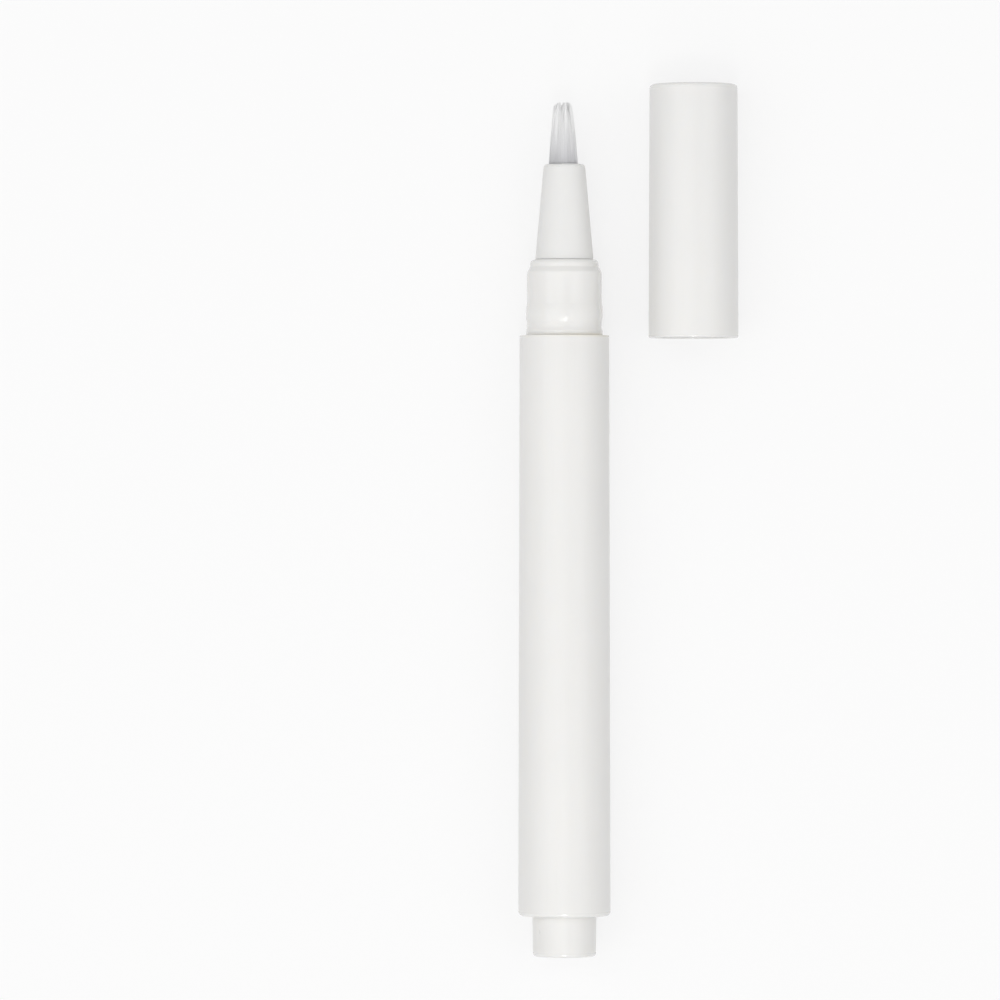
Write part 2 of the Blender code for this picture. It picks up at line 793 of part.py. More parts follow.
def make_cap_shell():
    snap_radius = cap_bore_radius - CAP_SNAP_HEIGHT
    snap_middle = FOOT_LENGTH + GROOVE_LENGTH + BEAD_LENGTH + CAP_SNAP_LENGTH
    profile = [
        (0, cap_length),
        (cap_end_radius, cap_length, CAP_END_FILLET),
        (cap_mouth_radius, 0, CAP_MOUTH_FILLET),
        (cap_bore_radius, 0, CAP_MOUTH_FILLET),
        (cap_bore_radius, snap_middle - CAP_SNAP_LENGTH / 2),
        (snap_radius, snap_middle),
        (cap_bore_radius, snap_middle + CAP_SNAP_LENGTH / 2),
        (cap_bore_radius, cap_inner_end, CAP_INNER_FILLET),
        (0, cap_inner_end),
    ]
    add_part("cap_shell", turned(profile), white_plastic, cap_axis)


def make_cap_liner():
    """The inner cap: a tapering cup with a rim round the step ring, ribbed against the cap."""
    end_bore_radius = liner_bore_radius - LINER_TAPER
    body = [
        (0, liner_rear),
        (liner_rim_radius, liner_rear),
        (liner_rim_radius, liner_rear + LINER_RIM),
        (liner_bore_radius + LINER_WALL, liner_rear + LINER_RIM),
        (end_bore_radius + LINER_WALL, liner_front, LINER_WALL),
        (0, liner_front),
    ]
    bore = [
        (0, liner_rear - OVERRUN),
        (step_ring_radius + GAP, liner_rear - OVERRUN),
        (step_ring_radius + GAP, liner_step),
        (liner_bore_radius, liner_step),
        (end_bore_radius, liner_floor, LINER_WALL / 2),
        (0, liner_floor),
    ]
    liner = add_part("cap_liner", turned(body), natural_plastic, cap_axis)
    rib_low = liner_rear + LINER_RIM / 2
    rib_high = liner_front - LINER_END_WALL
    for index in range(LINER_RIB_PAIRS):
        rib = block(2 * liner_rim_radius, LINER_RIB_WIDTH, rib_low, rib_high)
        rib.transform(Matrix.Rotation(math.pi * index / LINER_RIB_PAIRS, 4, "Z"))
        join_or_cut(liner, "UNION", add_cutter(f"liner_rib_{index + 1}", rib, cap_axis))
    join_or_cut(liner, "DIFFERENCE", add_cutter("liner_bore", turned(bore), cap_axis))


clear_scene()
parts = add_collection("cuticle_oil_pen")
cutters = add_collection("cutters")

white_plastic = make_material("white_plastic", (0.84, 0.84, 0.82), 0.34)
matte_plastic = make_material("matte_plastic", (0.82, 0.82, 0.81), 0.46)
natural_plastic = make_material("natural_plastic", (0.74, 0.75, 0.74), 0.40)
acetal = make_material("acetal", (0.78, 0.77, 0.72), 0.36)
soft_plastic = make_material("soft_plastic", (0.70, 0.71, 0.71), 0.50)
bristle_nylon = make_material("bristle_nylon", (0.72, 0.72, 0.74), 0.42)
spring_steel = make_material("spring_steel", (0.60, 0.60, 0.59), 0.28, 1.0)

pen_axis = add_axis("pen_axis", (pen_x, pen_y, barrel_rear_radius))
pen_axis.rotation_euler.x = math.radians(-90)
cap_place = (pen_x + AXIS_SPACING, pen_y + cap_mouth, cap_mouth_radius)
cap_axis = add_axis("cap_axis", cap_place)
cap_axis.rotation_euler.x = math.radians(-90)
button_axis = add_axis("button_axis", (0, 0, 0), pen_axis)
drive_axis = add_axis("drive_axis", (0, 0, 0), pen_axis)
rod_axis = add_axis("rod_axis", (0, 0, 0), drive_axis)
piston_axis = add_axis("piston_axis", (0, 0, 0), pen_axis)

make_barrel()
make_button()
make_spring()
make_drive_wheel()
make_detent_ring()
make_guide_sleeve()
make_rod_nut()
make_push_rod()
make_piston()
make_neck_collar()
make_nose_cone()
make_feed_tube()
make_brush()
make_cap_shell()
make_cap_liner()
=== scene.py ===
"""Push-button cuticle oil pen with a brush tip, lying beside its pulled-off cap."""

import math

import bmesh
import bpy
from mathutils import Matrix, Vector


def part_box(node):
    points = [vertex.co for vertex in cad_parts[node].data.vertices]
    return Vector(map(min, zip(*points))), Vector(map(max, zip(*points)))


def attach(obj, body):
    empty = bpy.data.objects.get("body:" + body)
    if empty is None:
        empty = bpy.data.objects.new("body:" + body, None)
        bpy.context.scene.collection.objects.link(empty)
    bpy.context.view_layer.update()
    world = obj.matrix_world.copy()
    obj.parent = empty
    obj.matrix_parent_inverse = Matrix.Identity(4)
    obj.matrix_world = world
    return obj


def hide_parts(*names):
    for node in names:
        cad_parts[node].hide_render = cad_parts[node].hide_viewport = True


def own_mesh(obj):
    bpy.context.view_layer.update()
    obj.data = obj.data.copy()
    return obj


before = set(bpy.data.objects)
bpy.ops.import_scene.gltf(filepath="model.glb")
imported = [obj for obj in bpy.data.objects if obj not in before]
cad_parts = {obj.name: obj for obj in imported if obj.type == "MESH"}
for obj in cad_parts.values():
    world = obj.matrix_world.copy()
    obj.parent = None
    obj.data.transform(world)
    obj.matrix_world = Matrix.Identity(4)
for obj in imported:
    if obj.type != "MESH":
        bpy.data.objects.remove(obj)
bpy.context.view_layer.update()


# Barrel. The long body is one moulded tube of satin white plastic, and it is also the oil tank. It
# thickens slightly from front to rear, where an in-turned lip keeps the push button in.
barrel_low, barrel_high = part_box("barrel")
pen_x = (barrel_low.x + barrel_high.x) / 2
pen_z = (barrel_low.z + barrel_high.z) / 2
barrel_rear = barrel_low.y
barrel_front = barrel_high.y
barrel_rear_radius = (barrel_high.x - barrel_low.x) / 2
barrel_front_radius = 0.0075
tank_radius = 0.0062
button_hole_radius = 0.00565
rear_lip = 0.0015
barrel_rim_edge = 0.0006
barrel_bore_edge = 0.00015
sharp_edge = 0.0001
fine_edge = 0.0002
soft_edge = 0.0003
clearance = 0.0003


def place_node(tree, kind, inputs=None, **settings):
    """Adds a node, sets it up, and plugs or sets each of its inputs."""
    made = tree.nodes.new(kind)
    for setting, value in settings.items():
        setattr(made, setting, value)
    for socket, value in (inputs or {}).items():
        if isinstance(value, bpy.types.NodeSocket):
            tree.links.new(value, made.inputs[socket])
        else:
            made.inputs[socket].default_value = value
    return made


def figure(tree, operation, *values):
    """The result of one sum on sockets and plain numbers."""
    inputs = dict(enumerate(values))
    return place_node(tree, "ShaderNodeMath", inputs, operation=operation).outputs[0]


def begin_tree(name, kind, inputs, outputs):
    """A node group with its sockets, named under their kinds, and its inputs to read."""
    tree = bpy.data.node_groups.new(name, kind)
    for side, sockets in (("INPUT", inputs), ("OUTPUT", outputs)):
        for socket, labels in sockets.items():
            for label in labels:
                tree.interface.new_socket(label, in_out=side, socket_type="NodeSocket" + socket)
    return tree, tree.nodes.new("NodeGroupInput").outputs


def end_tree(tree, results):
    """Plugs the results of a node group into its outputs."""
    place_node(tree, "NodeGroupOutput", results)
    return tree


def begin_piece(name, start, floats=(), counts=()):
    """A geometry tree for a piece round an axis along Y, and its inputs to read."""
    inputs = {
        "Geometry": [start],
        "Float": [*floats, "Axis X", "Axis Z"],
        "Int": counts,
        "Material": ["Finish"],
    }
    return begin_tree(name, "GeometryNodeTree", inputs, {"Geometry": ["Piece"]})


def end_piece(tree, geometry, given):
    """Ends a geometry tree with real geometry in its finish."""
    real = place_node(tree, "GeometryNodeRealizeInstances", {"Geometry": geometry})
    inputs = {"Geometry": real.outputs[0], "Material": given["Finish"]}
    finished = place_node(tree, "GeometryNodeSetMaterial", inputs)
    return end_tree(tree, {"Piece": finished.outputs[0]})


def flat_sheet(tree, facets, rows):
    """A sheet to roll up, with each point's row, its column and its share of the whole turn."""
    columns = figure(tree, "ADD", facets, 1.0)
    grid = place_node(tree, "GeometryNodeMeshGrid", {"Vertices X": columns, "Vertices Y": rows})
    index = tree.nodes.new("GeometryNodeInputIndex").outputs[0]
    row = figure(tree, "MODULO", index, rows)
    column = figure(tree, "FLOOR", figure(tree, "DIVIDE", index, rows))
    return grid.outputs["Mesh"], row, column, figure(tree, "DIVIDE", column, facets)


def wound(tree, given, geometry, radius, angle, y):
    """Geometry with its points at their radius and angle round the axis."""
    x = figure(tree, "MULTIPLY_ADD", radius, figure(tree, "SINE", angle), given["Axis X"])
    z = figure(tree, "MULTIPLY_ADD", radius, figure(tree, "COSINE", angle), given["Axis Z"])
    spot = place_node(tree, "ShaderNodeCombineXYZ", {0: x, 1: y, 2: z}).outputs[0]
    inputs = {"Geometry": geometry, "Position": spot}
    return place_node(tree, "GeometryNodeSetPosition", inputs).outputs[0]


def closed(tree, geometry):
    """A rolled-up sheet, joined along its seam and at its poles."""
    seam_width = 0.0000002
    inputs = {"Geometry": geometry, "Distance": seam_width}
    return place_node(tree, "GeometryNodeMergeByDistance", inputs).outputs[0]


def marked(tree, geometry, name, value, domain="POINT"):
    """Geometry that keeps a value under a name."""
    inputs = {"Geometry": geometry, "Name": name, "Value": value}
    kind = "GeometryNodeStoreNamedAttribute"
    return place_node(tree, kind, inputs, data_type="FLOAT", domain=domain).outputs[0]


def mark(tree, name):
    """The value that geometry keeps under a name."""
    kind = "GeometryNodeInputNamedAttribute"
    return place_node(tree, kind, {"Name": name}, data_type="FLOAT").outputs["Attribute"]


def turning_tree():
    """Sweeps the points of a section round its axis. Saw teeth rise on points marked so."""
    tree, given = begin_piece("turned moulding", "Section", counts=["Facets", "Teeth"])
    section = given["Section"]
    inputs = {"Geometry": section}
    size = place_node(tree, "GeometryNodeAttributeDomainSize", inputs, component="MESH")
    sheet, step, column, share = flat_sheet(tree, given["Facets"], size.outputs["Point Count"])

    def carried(value, kind="FLOAT"):
        """A value of the section's points, on every point swept from them."""
        inputs = {"Geometry": section, "Value": value, "Index": step}
        node = place_node(tree, "GeometryNodeSampleIndex", inputs, data_type=kind, domain="POINT")
        return node.outputs[0]

    position = tree.nodes.new("GeometryNodeInputPosition").outputs[0]
    place = carried(position, "FLOAT_VECTOR")
    radius, y = place_node(tree, "ShaderNodeSeparateXYZ", {0: place}).outputs[:2]
    tooth_columns = figure(tree, "DIVIDE", given["Facets"], given["Teeth"])
    climbed = figure(tree, "MODULO", column, tooth_columns)
    climb = figure(tree, "DIVIDE", climbed, figure(tree, "SUBTRACT", tooth_columns, 1.0))
    y = figure(tree, "MULTIPLY_ADD", carried(mark(tree, "saw")), climb, y)
    swept = wound(tree, given, sheet, radius, figure(tree, "MULTIPLY", share, math.tau), y)
    kept = marked(tree, swept, "worn", carried(mark(tree, "worn")))
    return end_piece(tree, closed(tree, kept), given)


turning = turning_tree()


def add_object(name, data):
    """Puts an object in the scene, at the origin."""
    made = bpy.data.objects.new(name, data)
    bpy.context.scene.collection.objects.link(made)
    return made


def grow(tree, name, values, start=None):
    """Runs a geometry tree, round the pen's axis if its values name no other one, and keeps what
    it makes as a plain piece at the origin."""
    values = {"Axis X": pen_x, "Axis Z": pen_z, **values}
    holder = add_object(name, start or bpy.data.meshes.new(name))
    modifier = holder.modifiers.new(tree.name, "NODES")
    modifier.node_group = tree
    for socket in tree.interface.items_tree:
        if socket.name in values:
            modifier[socket.identifier] = values[socket.name]
    graph = bpy.context.evaluated_depsgraph_get()
    grown = holder.evaluated_get(graph)
    mesh = bpy.data.meshes.new_from_object(grown, preserve_all_data_layers=True, depsgraph=graph)
    bpy.data.objects.remove(holder)
    sheet = bmesh.new()
    sheet.from_mesh(mesh)
    bmesh.ops.recalc_face_normals(sheet, faces=sheet.faces)
    sheet.to_mesh(mesh)
    sheet.free()
    mesh.shade_smooth()
    sharpest_smooth = math.radians(32)
    mesh.set_sharp_from_angle(angle=sharpest_smooth)
    return add_object(name, mesh)


def section_points(corners):
    """Points (radius, y, worn) along a moulding's section. A third number rounds a corner, and
    worn is 1 on the rounding, which hands and the cap polish. Points held beside it end the wear."""
    arc_steps = 7
    hold = 0.00022
    points = []
    for index, corner in enumerate(corners):
        place = Vector(corner[:2])
        if len(corner) == 2:
            points.append((place.x, place.y, 0.0))
            continue
        before = Vector(corners[index - 1][:2]) - place
        after = Vector(corners[(index + 1) % len(corners)][:2]) - place
        inward = before.normalized()
        outward = after.normalized()
        half_angle = inward.angle(outward) / 2
        reach = corner[2] / math.tan(half_angle)
        centre = place + (inward + outward).normalized() * corner[2] / math.sin(half_angle)
        start = place + inward * reach - centre
        sweep = start.angle_signed(place + outward * reach - centre)
        least_length = 3 * (reach + hold)
        if before.length > least_length:
            points.append((*(place + inward * (reach + hold)), 0.0))
        for step in range(arc_steps + 1):
            points.append((*(centre + Matrix.Rotation(-sweep * step / arc_steps, 2) @ start), 1.0))
        if after.length > least_length:
            points.append((*(place + outward * (reach + hold)), 0.0))
    return points


def turned_piece(
    name, corners, finish, facets=144, x=pen_x, z=pen_z, teeth=0, toothed_face=None, tooth_height=0.0
):
    """A moulding turned round the pen's axis, or round another one at x and z. A section that
    doesn't end on the axis is closed. The points at the toothed face's y rise into saw teeth."""
    points = section_points(corners)
    if points[0][0] > 0:
        points.append(points[0])
    section = bpy.data.meshes.new(name)
    section.from_pydata([(radius, y, 0) for radius, y, worn in points], [], [])
    saws = [tooth_height if y == toothed_face else 0.0 for radius, y, worn in points]
    section.attributes.new("saw", "FLOAT", "POINT").data.foreach_set("value", saws)
    section.attributes.new("worn", "FLOAT", "POINT").data.foreach_set("value", [p[2] for p in points])
    values = {"Facets": facets, "Teeth": teeth, "Axis X": x, "Axis Z": z, "Finish": finish}
    return grow(turning, name, values, section)


def noise(tree, where, scale, detail, distortion=0.0):
    """Cloudy noise between 0 and 1."""
    values = {"Vector": where, "Scale": scale, "Detail": detail, "Distortion": distortion}
    return place_node(tree, "ShaderNodeTexNoise", values).outputs["Fac"]


def moulded_skin():
    """The skin of a moulded plastic: mottling, the mould's grain, draw lines, smears, worn edges."""
    floats = ["Roughness", "Grain Size", "Grain Depth", "Draw Lines", "Smears", "Worn"]
    inputs = {"Vector": ["Vector"], "Color": ["Colour"], "Float": floats}
    outputs = {"Color": ["Colour"], "Float": ["Roughness", "Height"]}
    tree, given = begin_tree("moulded skin", "ShaderNodeTree", inputs, outputs)
    where = given["Vector"]
    mottle = noise(tree, where, 70.0, 2.0)
    smear = noise(tree, where, 190.0, 4.0, 1.2)
    patches = noise(tree, where, 55.0, 1.0)
    grain = noise(tree, where, figure(tree, "DIVIDE", 1.0, given["Grain Size"]), 3.0)
    drawn_scale = (6500, 55, 6500)
    drawn = place_node(tree, "ShaderNodeMapping", {"Vector": where, "Scale": drawn_scale})
    lines = figure(tree, "SUBTRACT", noise(tree, drawn.outputs[0], 1.0, 2.0), 0.60)
    lines = figure(tree, "MULTIPLY", lines, 7.0)
    lines = place_node(tree, "ShaderNodeClamp", {"Value": lines}).outputs[0]
    lines = figure(tree, "MULTIPLY", lines, given["Draw Lines"])
    lines = figure(tree, "MULTIPLY", lines, patches)
    shade = figure(tree, "MULTIPLY_ADD", mottle, 0.030, 0.985)
    shade = figure(tree, "MULTIPLY_ADD", lines, -0.05, shade)
    inputs = {0: given["Colour"], "Scale": shade}
    tinted = place_node(tree, "ShaderNodeVectorMath", inputs, operation="SCALE")
    rough = figure(tree, "SUBTRACT", smear, 0.5)
    rough = figure(tree, "MULTIPLY_ADD", rough, given["Smears"], given["Roughness"])
    rough = figure(tree, "MULTIPLY_ADD", lines, 0.30, rough)
    rough = figure(tree, "MULTIPLY_ADD", given["Worn"], -0.18, rough)
    height = figure(tree, "MULTIPLY", grain, given["Grain Depth"])
    height = figure(tree, "MULTIPLY_ADD", lines, -0.35, height)
    return end_tree(tree, {"Colour": tinted.outputs[0], "Roughness": rough, "Height": height})


skin = moulded_skin()


def begin_material(name):
    """A material with its node tree and its shader."""
    material = bpy.data.materials.new(name)
    material.use_nodes = True
    return material, material.node_tree, material.node_tree.nodes["Principled BSDF"]


def dress(tree, shader, colour, roughness, bumps):
    """Plugs a colour, a roughness and bumps into a shader."""
    bump = place_node(tree, "ShaderNodeBump", bumps)
    tree.links.new(colour, shader.inputs["Base Color"])
    tree.links.new(roughness, shader.inputs["Roughness"])
    tree.links.new(bump.outputs[0], shader.inputs["Normal"])


def plastic(name, colour, roughness, skin_values, centre, shader_values=None):
    """A moulded plastic with its own skin. The pattern is centred on the piece."""
    material, tree, shader = begin_material(name)
    shader.inputs["IOR"].default_value = 1.49
    for socket, value in (shader_values or {}).items():
        shader.inputs[socket].default_value = value
    object_place = tree.nodes.new("ShaderNodeTexCoord").outputs["Object"]
    inputs = {"Vector": object_place, "Location": [-v for v in centre]}
    centred = place_node(tree, "ShaderNodeMapping", inputs)
    worn = place_node(tree, "ShaderNodeAttribute", attribute_name="worn")
    inputs = {
        "Vector": centred.outputs[0],
        "Colour": (*colour, 1.0),
        "Roughness": roughness,
        "Worn": worn.outputs["Fac"],
        **skin_values,
    }
    surface = place_node(tree, "ShaderNodeGroup", inputs, node_tree=skin).outputs
    bumps = {"Strength": 0.25, "Distance": 0.00004, "Height": surface["Height"]}
    dress(tree, shader, surface["Colour"], surface["Roughness"], bumps)
    return material


white = (0.862, 0.855, 0.838)
milky = {
    "Subsurface Weight": 0.25,
    "Subsurface Radius": (1.0, 0.95, 0.85),
    "Subsurface Scale": 0.0009,
}
barrel_plastic = plastic(
    "satin white plastic",
    white,
    0.32,
    {"Grain Size": 0.00016, "Grain Depth": 0.35, "Draw Lines": 0.5, "Smears": 0.10},
    (pen_x, 0, pen_z),
    milky,
)
barrel = turned_piece(
    "oil_pen_barrel",
    [
        (barrel_front_radius, barrel_front, sharp_edge),
        (barrel_rear_radius, barrel_rear, barrel_rim_edge),
        (button_hole_radius, barrel_rear, barrel_bore_edge),
        (button_hole_radius, barrel_rear + rear_lip),
        (tank_radius, barrel_rear + rear_lip),
        (tank_radius, barrel_front, barrel_bore_edge),
    ],
    barrel_plastic,
    facets=192,
)
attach(barrel, "pen_body")
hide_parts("barrel")


# Push button. A hollow white cup that stands out of the barrel's rear. A flange inside keeps it in,
# three lugs keep it from turning, and the crown of saw teeth on its skirt turns the drive wheel.
button_low, button_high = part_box("button")
button_radius = 0.00535
button_end_radius = button_radius - 0.00005
button_end_edge = 0.0005
button_flange_radius = (button_high.x - button_low.x) / 2
button_flange_rear = barrel_rear + rear_lip + clearance
button_flange_front = button_flange_rear + 0.0010
button_floor = button_low.y + 0.0015
skirt_radius = 0.0046
skirt_bore_radius = 0.0038
tooth_height = 0.0012
crown_root = button_high.y - tooth_height
teeth = 12


def gate_mark(end, inward):
    """The small hollow that the mould's gate leaves in the middle of an end. Inward is 1 or -1."""
    depth = 0.00012
    floor_radius = 0.0005
    rim_radius = 0.0007
    floor = end + inward * depth
    return [(0, floor), (floor_radius, floor, sharp_edge), (rim_radius, end, sharp_edge)]


button_plastic = plastic(
    "button white plastic",
    (0.855, 0.848, 0.830),
    0.30,
    {"Grain Size": 0.00016, "Grain Depth": 0.30, "Draw Lines": 0.35, "Smears": 0.16},
    (pen_x, button_low.y, pen_z),
    milky,
)
button = turned_piece(
    "push_button",
    [
        *gate_mark(button_low.y, 1),
        (button_end_radius, button_low.y, button_end_edge),
        (button_radius, button_flange_rear),
        (button_flange_radius, button_flange_rear),
        (button_flange_radius, button_flange_front),
        (skirt_radius, button_flange_front),
        (skirt_radius, crown_root),
        (skirt_bore_radius, crown_root),
        (skirt_bore_radius, button_floor),
        (0, button_floor),
    ],
    button_plastic,
    teeth=teeth,
    toothed_face=crown_root,
    tooth_height=tooth_height,
)
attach(button, "button")
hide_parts("button")


def rib_ring_tree():
    """Copies of one rib, spaced evenly round an axis along Y."""
    tree, given = begin_piece("ring of ribs", "Rib", counts=["Count"])
    axis = place_node(tree, "ShaderNodeCombineXYZ", {0: given["Axis X"], 2: given["Axis Z"]})
    inputs = {"Count": given["Count"], "Position": axis.outputs[0]}
    spots = place_node(tree, "GeometryNodePoints", inputs)
    index = tree.nodes.new("GeometryNodeInputIndex").outputs[0]
    share = figure(tree, "DIVIDE", index, given["Count"])
    turn = figure(tree, "MULTIPLY", share, math.tau)
    turned = place_node(tree, "ShaderNodeCombineXYZ", {1: turn})
    inputs = {"Points": spots.outputs[0], "Instance": given["Rib"], "Rotation": turned.outputs[0]}
    ribs = place_node(tree, "GeometryNodeInstanceOnPoints", inputs)
    return end_piece(tree, ribs.outputs[0], given)


rib_ring = rib_ring_tree()


def rib(width, inner, outer, rear, front, edge=sharp_edge, root_slope=0.0):
    """A straight rib that stands out along +X from its axis, with its edges rounded. Its root
    comes nearer to the axis towards the front by the root slope."""
    sheet = bmesh.new()
    place = Matrix.Translation(((inner + outer) / 2, (rear + front) / 2, 0))
    size = Matrix.Diagonal((outer - inner, front - rear, width, 1))
    bmesh.ops.create_cube(sheet, size=1, matrix=place @ size)
    for corner in sheet.verts:
        if corner.co.x < (inner + outer) / 2:
            corner.co.x -= root_slope * (corner.co.y - rear)
    edges = sheet.edges[:]
    bmesh.ops.bevel(sheet, geom=edges, offset=edge, segments=3, profile=0.5, affect="EDGES")
    mesh = bpy.data.meshes.new("rib")
    sheet.to_mesh(mesh)
    sheet.free()
    return mesh


lug_width = 0.0016
lug_root = skirt_radius - 0.0004
lug_top = skirt_radius + 0.0009
lug_rear = button_flange_front + 0.0032
lug_front = lug_rear + 0.0018
lugs = grow(
    rib_ring,
    "button_lugs",
    {"Count": 3, "Finish": button_plastic},
    rib(lug_width, lug_root, lug_top, lug_rear, lug_front),
)
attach(lugs, "button")
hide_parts("button")


# Return spring. A coil of drawn steel wire with closed ends. It stands between the button's floor and
# the drive wheel, and brings the button back after each press.
spring_low, spring_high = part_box("return_spring")
wire_radius = 0.00025


def straight_points(tree, count):
    """Points along a straight line, and each one's share of its length."""
    line = place_node(tree, "GeometryNodeCurvePrimitiveLine", {"End": (0, 1, 0)})
    inputs = {"Curve": line.outputs[0], "Count": count}
    points = place_node(tree, "GeometryNodeResampleCurve", inputs, mode="COUNT")
    position = tree.nodes.new("GeometryNodeInputPosition").outputs[0]
    return points.outputs[0], place_node(tree, "ShaderNodeSeparateXYZ", {0: position}).outputs[1]


def thick_wire(tree, path, sides, radius, scale=1.0):
    """Round wire along a path, closed at both ends. The scale may change along it."""
    inputs = {"Resolution": sides, "Radius": radius}
    ring = place_node(tree, "GeometryNodeCurvePrimitiveCircle", inputs)
    inputs = {"Curve": path, "Profile Curve": ring.outputs[0], "Scale": scale, "Fill Caps": True}
    return place_node(tree, "GeometryNodeCurveToMesh", inputs).outputs[0]


def coil_tree():
    """Wire wound round an axis along Y, with one closed turn at each end."""
    floats = ["Turns", "Coil Radius", "Wire Radius", "Rear", "Front"]
    tree, given = begin_piece("wound wire", "Start", floats)
    path_points = 320
    wire_sides = 14
    points, share = straight_points(tree, path_points)
    turned = figure(tree, "MULTIPLY", share, given["Turns"])
    angle = figure(tree, "MULTIPLY", turned, math.tau)
    wire = figure(tree, "MULTIPLY", given["Wire Radius"], 2.0)
    first = figure(tree, "MINIMUM", turned, 1.0)
    last = figure(tree, "SUBTRACT", turned, figure(tree, "SUBTRACT", given["Turns"], 1.0))
    shut = figure(tree, "ADD", first, figure(tree, "MAXIMUM", last, 0.0))
    opened = figure(tree, "SUBTRACT", turned, shut)
    open_turns = figure(tree, "SUBTRACT", given["Turns"], 2.0)
    length = figure(tree, "SUBTRACT", given["Front"], given["Rear"])
    open_length = figure(tree, "MULTIPLY_ADD", wire, -3.0, length)
    pitch = figure(tree, "DIVIDE", open_length, open_turns)
    start = figure(tree, "ADD", given["Rear"], given["Wire Radius"])
    height = figure(tree, "MULTIPLY_ADD", shut, wire, start)
    height = figure(tree, "MULTIPLY_ADD", opened, pitch, height)
    coil = wound(tree, given, points, given["Coil Radius"], angle, height)
    return end_piece(tree, thick_wire(tree, coil, wire_sides, given["Wire Radius"]), given)


def drawn_steel():
    """Bright spring wire, uneven in tone, with faint scratches from the drawing die."""
    material, tree, shader = begin_material("drawn spring steel")
    shader.inputs["Metallic"].default_value = 1.0
    place = tree.nodes.new("ShaderNodeTexCoord").outputs["Object"]
    patches = noise(tree, place, 900.0, 3.0)
    scratches = noise(tree, place, 9000.0, 2.0)
    tone = place_node(tree, "ShaderNodeValToRGB", {"Fac": patches})
    tone.color_ramp.elements[0].color = (0.52, 0.51, 0.49, 1)
    tone.color_ramp.elements[0].position = 0.3
    tone.color_ramp.elements[1].color = (0.66, 0.66, 0.65, 1)
    tone.color_ramp.elements[1].position = 0.7
    rough = figure(tree, "MULTIPLY_ADD", scratches, 0.22, 0.16)
    bumps = {"Strength": 0.2, "Distance": 0.00002, "Height": scratches}
    dress(tree, shader, tone.outputs["Color"], rough, bumps)
    return material


return_spring = grow(
    coil_tree(),
    "button_return_spring",
    {
        "Turns": 8.0,
        "Coil Radius": (spring_high.x - spring_low.x) / 2 - wire_radius,
        "Wire Radius": wire_radius,
        "Rear": spring_low.y,
        "Front": spring_high.y,
        "Finish": drawn_steel(),
    },
)
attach(return_spring, "pen_body")
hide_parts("return_spring")
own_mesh(return_spring)


# Drive wheel, detent ring, guide sleeve and nut. The wheel and ring are hard acetal, which wears well
# on its teeth. The sleeve and nut are natural plastic, and all but the wheel are pressed into the barrel.
acetal = plastic(
    "moulded acetal",
    (0.80, 0.785, 0.72),
    0.34,
    {"Grain Size": 0.0003, "Grain Depth": 0.25, "Draw Lines": 0.3, "Smears": 0.18},
    (pen_x, 0, pen_z),
)
natural_plastic = plastic(
    "natural plastic",
    (0.76, 0.77, 0.75),
    0.36,
    {"Grain Size": 0.0003, "Grain Depth": 0.2, "Draw Lines": 0.3, "Smears": 0.10},
    (pen_x, 0, pen_z),
)
for node, finish in (
    ("drive_wheel", acetal),
    ("detent_ring", acetal),
    ("guide_sleeve", natural_plastic),
    ("rod_nut", natural_plastic),
):
    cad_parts[node].material_slots[0].material = finish


# Push rod. The screw of acetal: a coarse two-start thread with two flats, which the wheel's stem turns
# it by, and a grooved head that snaps into the piston.
rod_low, rod_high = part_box("push_rod")
thread_radius = 0.0017
crest_flatness = 1.4
flat_distance = 0.0012
head_rear = rod_high.y - 0.0015
groove_rear = head_rear - 0.0009
head_radius = thread_radius + 0.0002
head_root = groove_rear - 0.0002
head_front_edge = 0.00025
head_rear_edge = 0.00008


def thread_tree():
    """A closed threaded shank with two flats, along Y."""
    floats = ["Rear", "Front", "Radius", "Depth", "Flat Distance", "Lead", "Starts"]
    tree, given = begin_piece("threaded shank", "Start", floats, ["Rows", "Facets"])
    sheet, row, column, around = flat_sheet(tree, given["Facets"], given["Rows"])
    angle = figure(tree, "MULTIPLY", around, math.tau)
    thread_rows = figure(tree, "SUBTRACT", given["Rows"], 3.0)
    inner_row = figure(tree, "SUBTRACT", row, 1.0)
    inner_row = figure(tree, "MAXIMUM", inner_row, 0.0)
    inner_row = figure(tree, "MINIMUM", inner_row, thread_rows)
    share = figure(tree, "DIVIDE", inner_row, thread_rows)
    length = figure(tree, "SUBTRACT", given["Front"], given["Rear"])
    along = figure(tree, "MULTIPLY", share, length)
    turns = figure(tree, "SUBTRACT", figure(tree, "DIVIDE", along, given["Lead"]), around)
    turns = figure(tree, "MULTIPLY", turns, given["Starts"])
    wave = figure(tree, "COSINE", figure(tree, "MULTIPLY", turns, math.tau))
    crest = figure(tree, "MULTIPLY", wave, crest_flatness)
    crest = figure(tree, "MAXIMUM", figure(tree, "MINIMUM", crest, 1.0), -1.0)
    sunk = figure(tree, "MULTIPLY", figure(tree, "SUBTRACT", 1.0, crest), 0.5)
    radius = figure(tree, "SUBTRACT", given["Radius"], figure(tree, "MULTIPLY", sunk, given["Depth"]))
    slope = figure(tree, "ABSOLUTE", figure(tree, "SINE", angle))
    not_zero = figure(tree, "MAXIMUM", slope, 0.001)
    limit = figure(tree, "DIVIDE", given["Flat Distance"], not_zero)
    radius = figure(tree, "MINIMUM", radius, limit)
    not_first = figure(tree, "GREATER_THAN", row, 0.5)
    not_last = figure(tree, "LESS_THAN", row, figure(tree, "SUBTRACT", given["Rows"], 1.5))
    radius = figure(tree, "MULTIPLY", radius, figure(tree, "MULTIPLY", not_first, not_last))
    shank = wound(tree, given, sheet, radius, angle, figure(tree, "ADD", along, given["Rear"]))
    return end_piece(tree, closed(tree, shank), given)


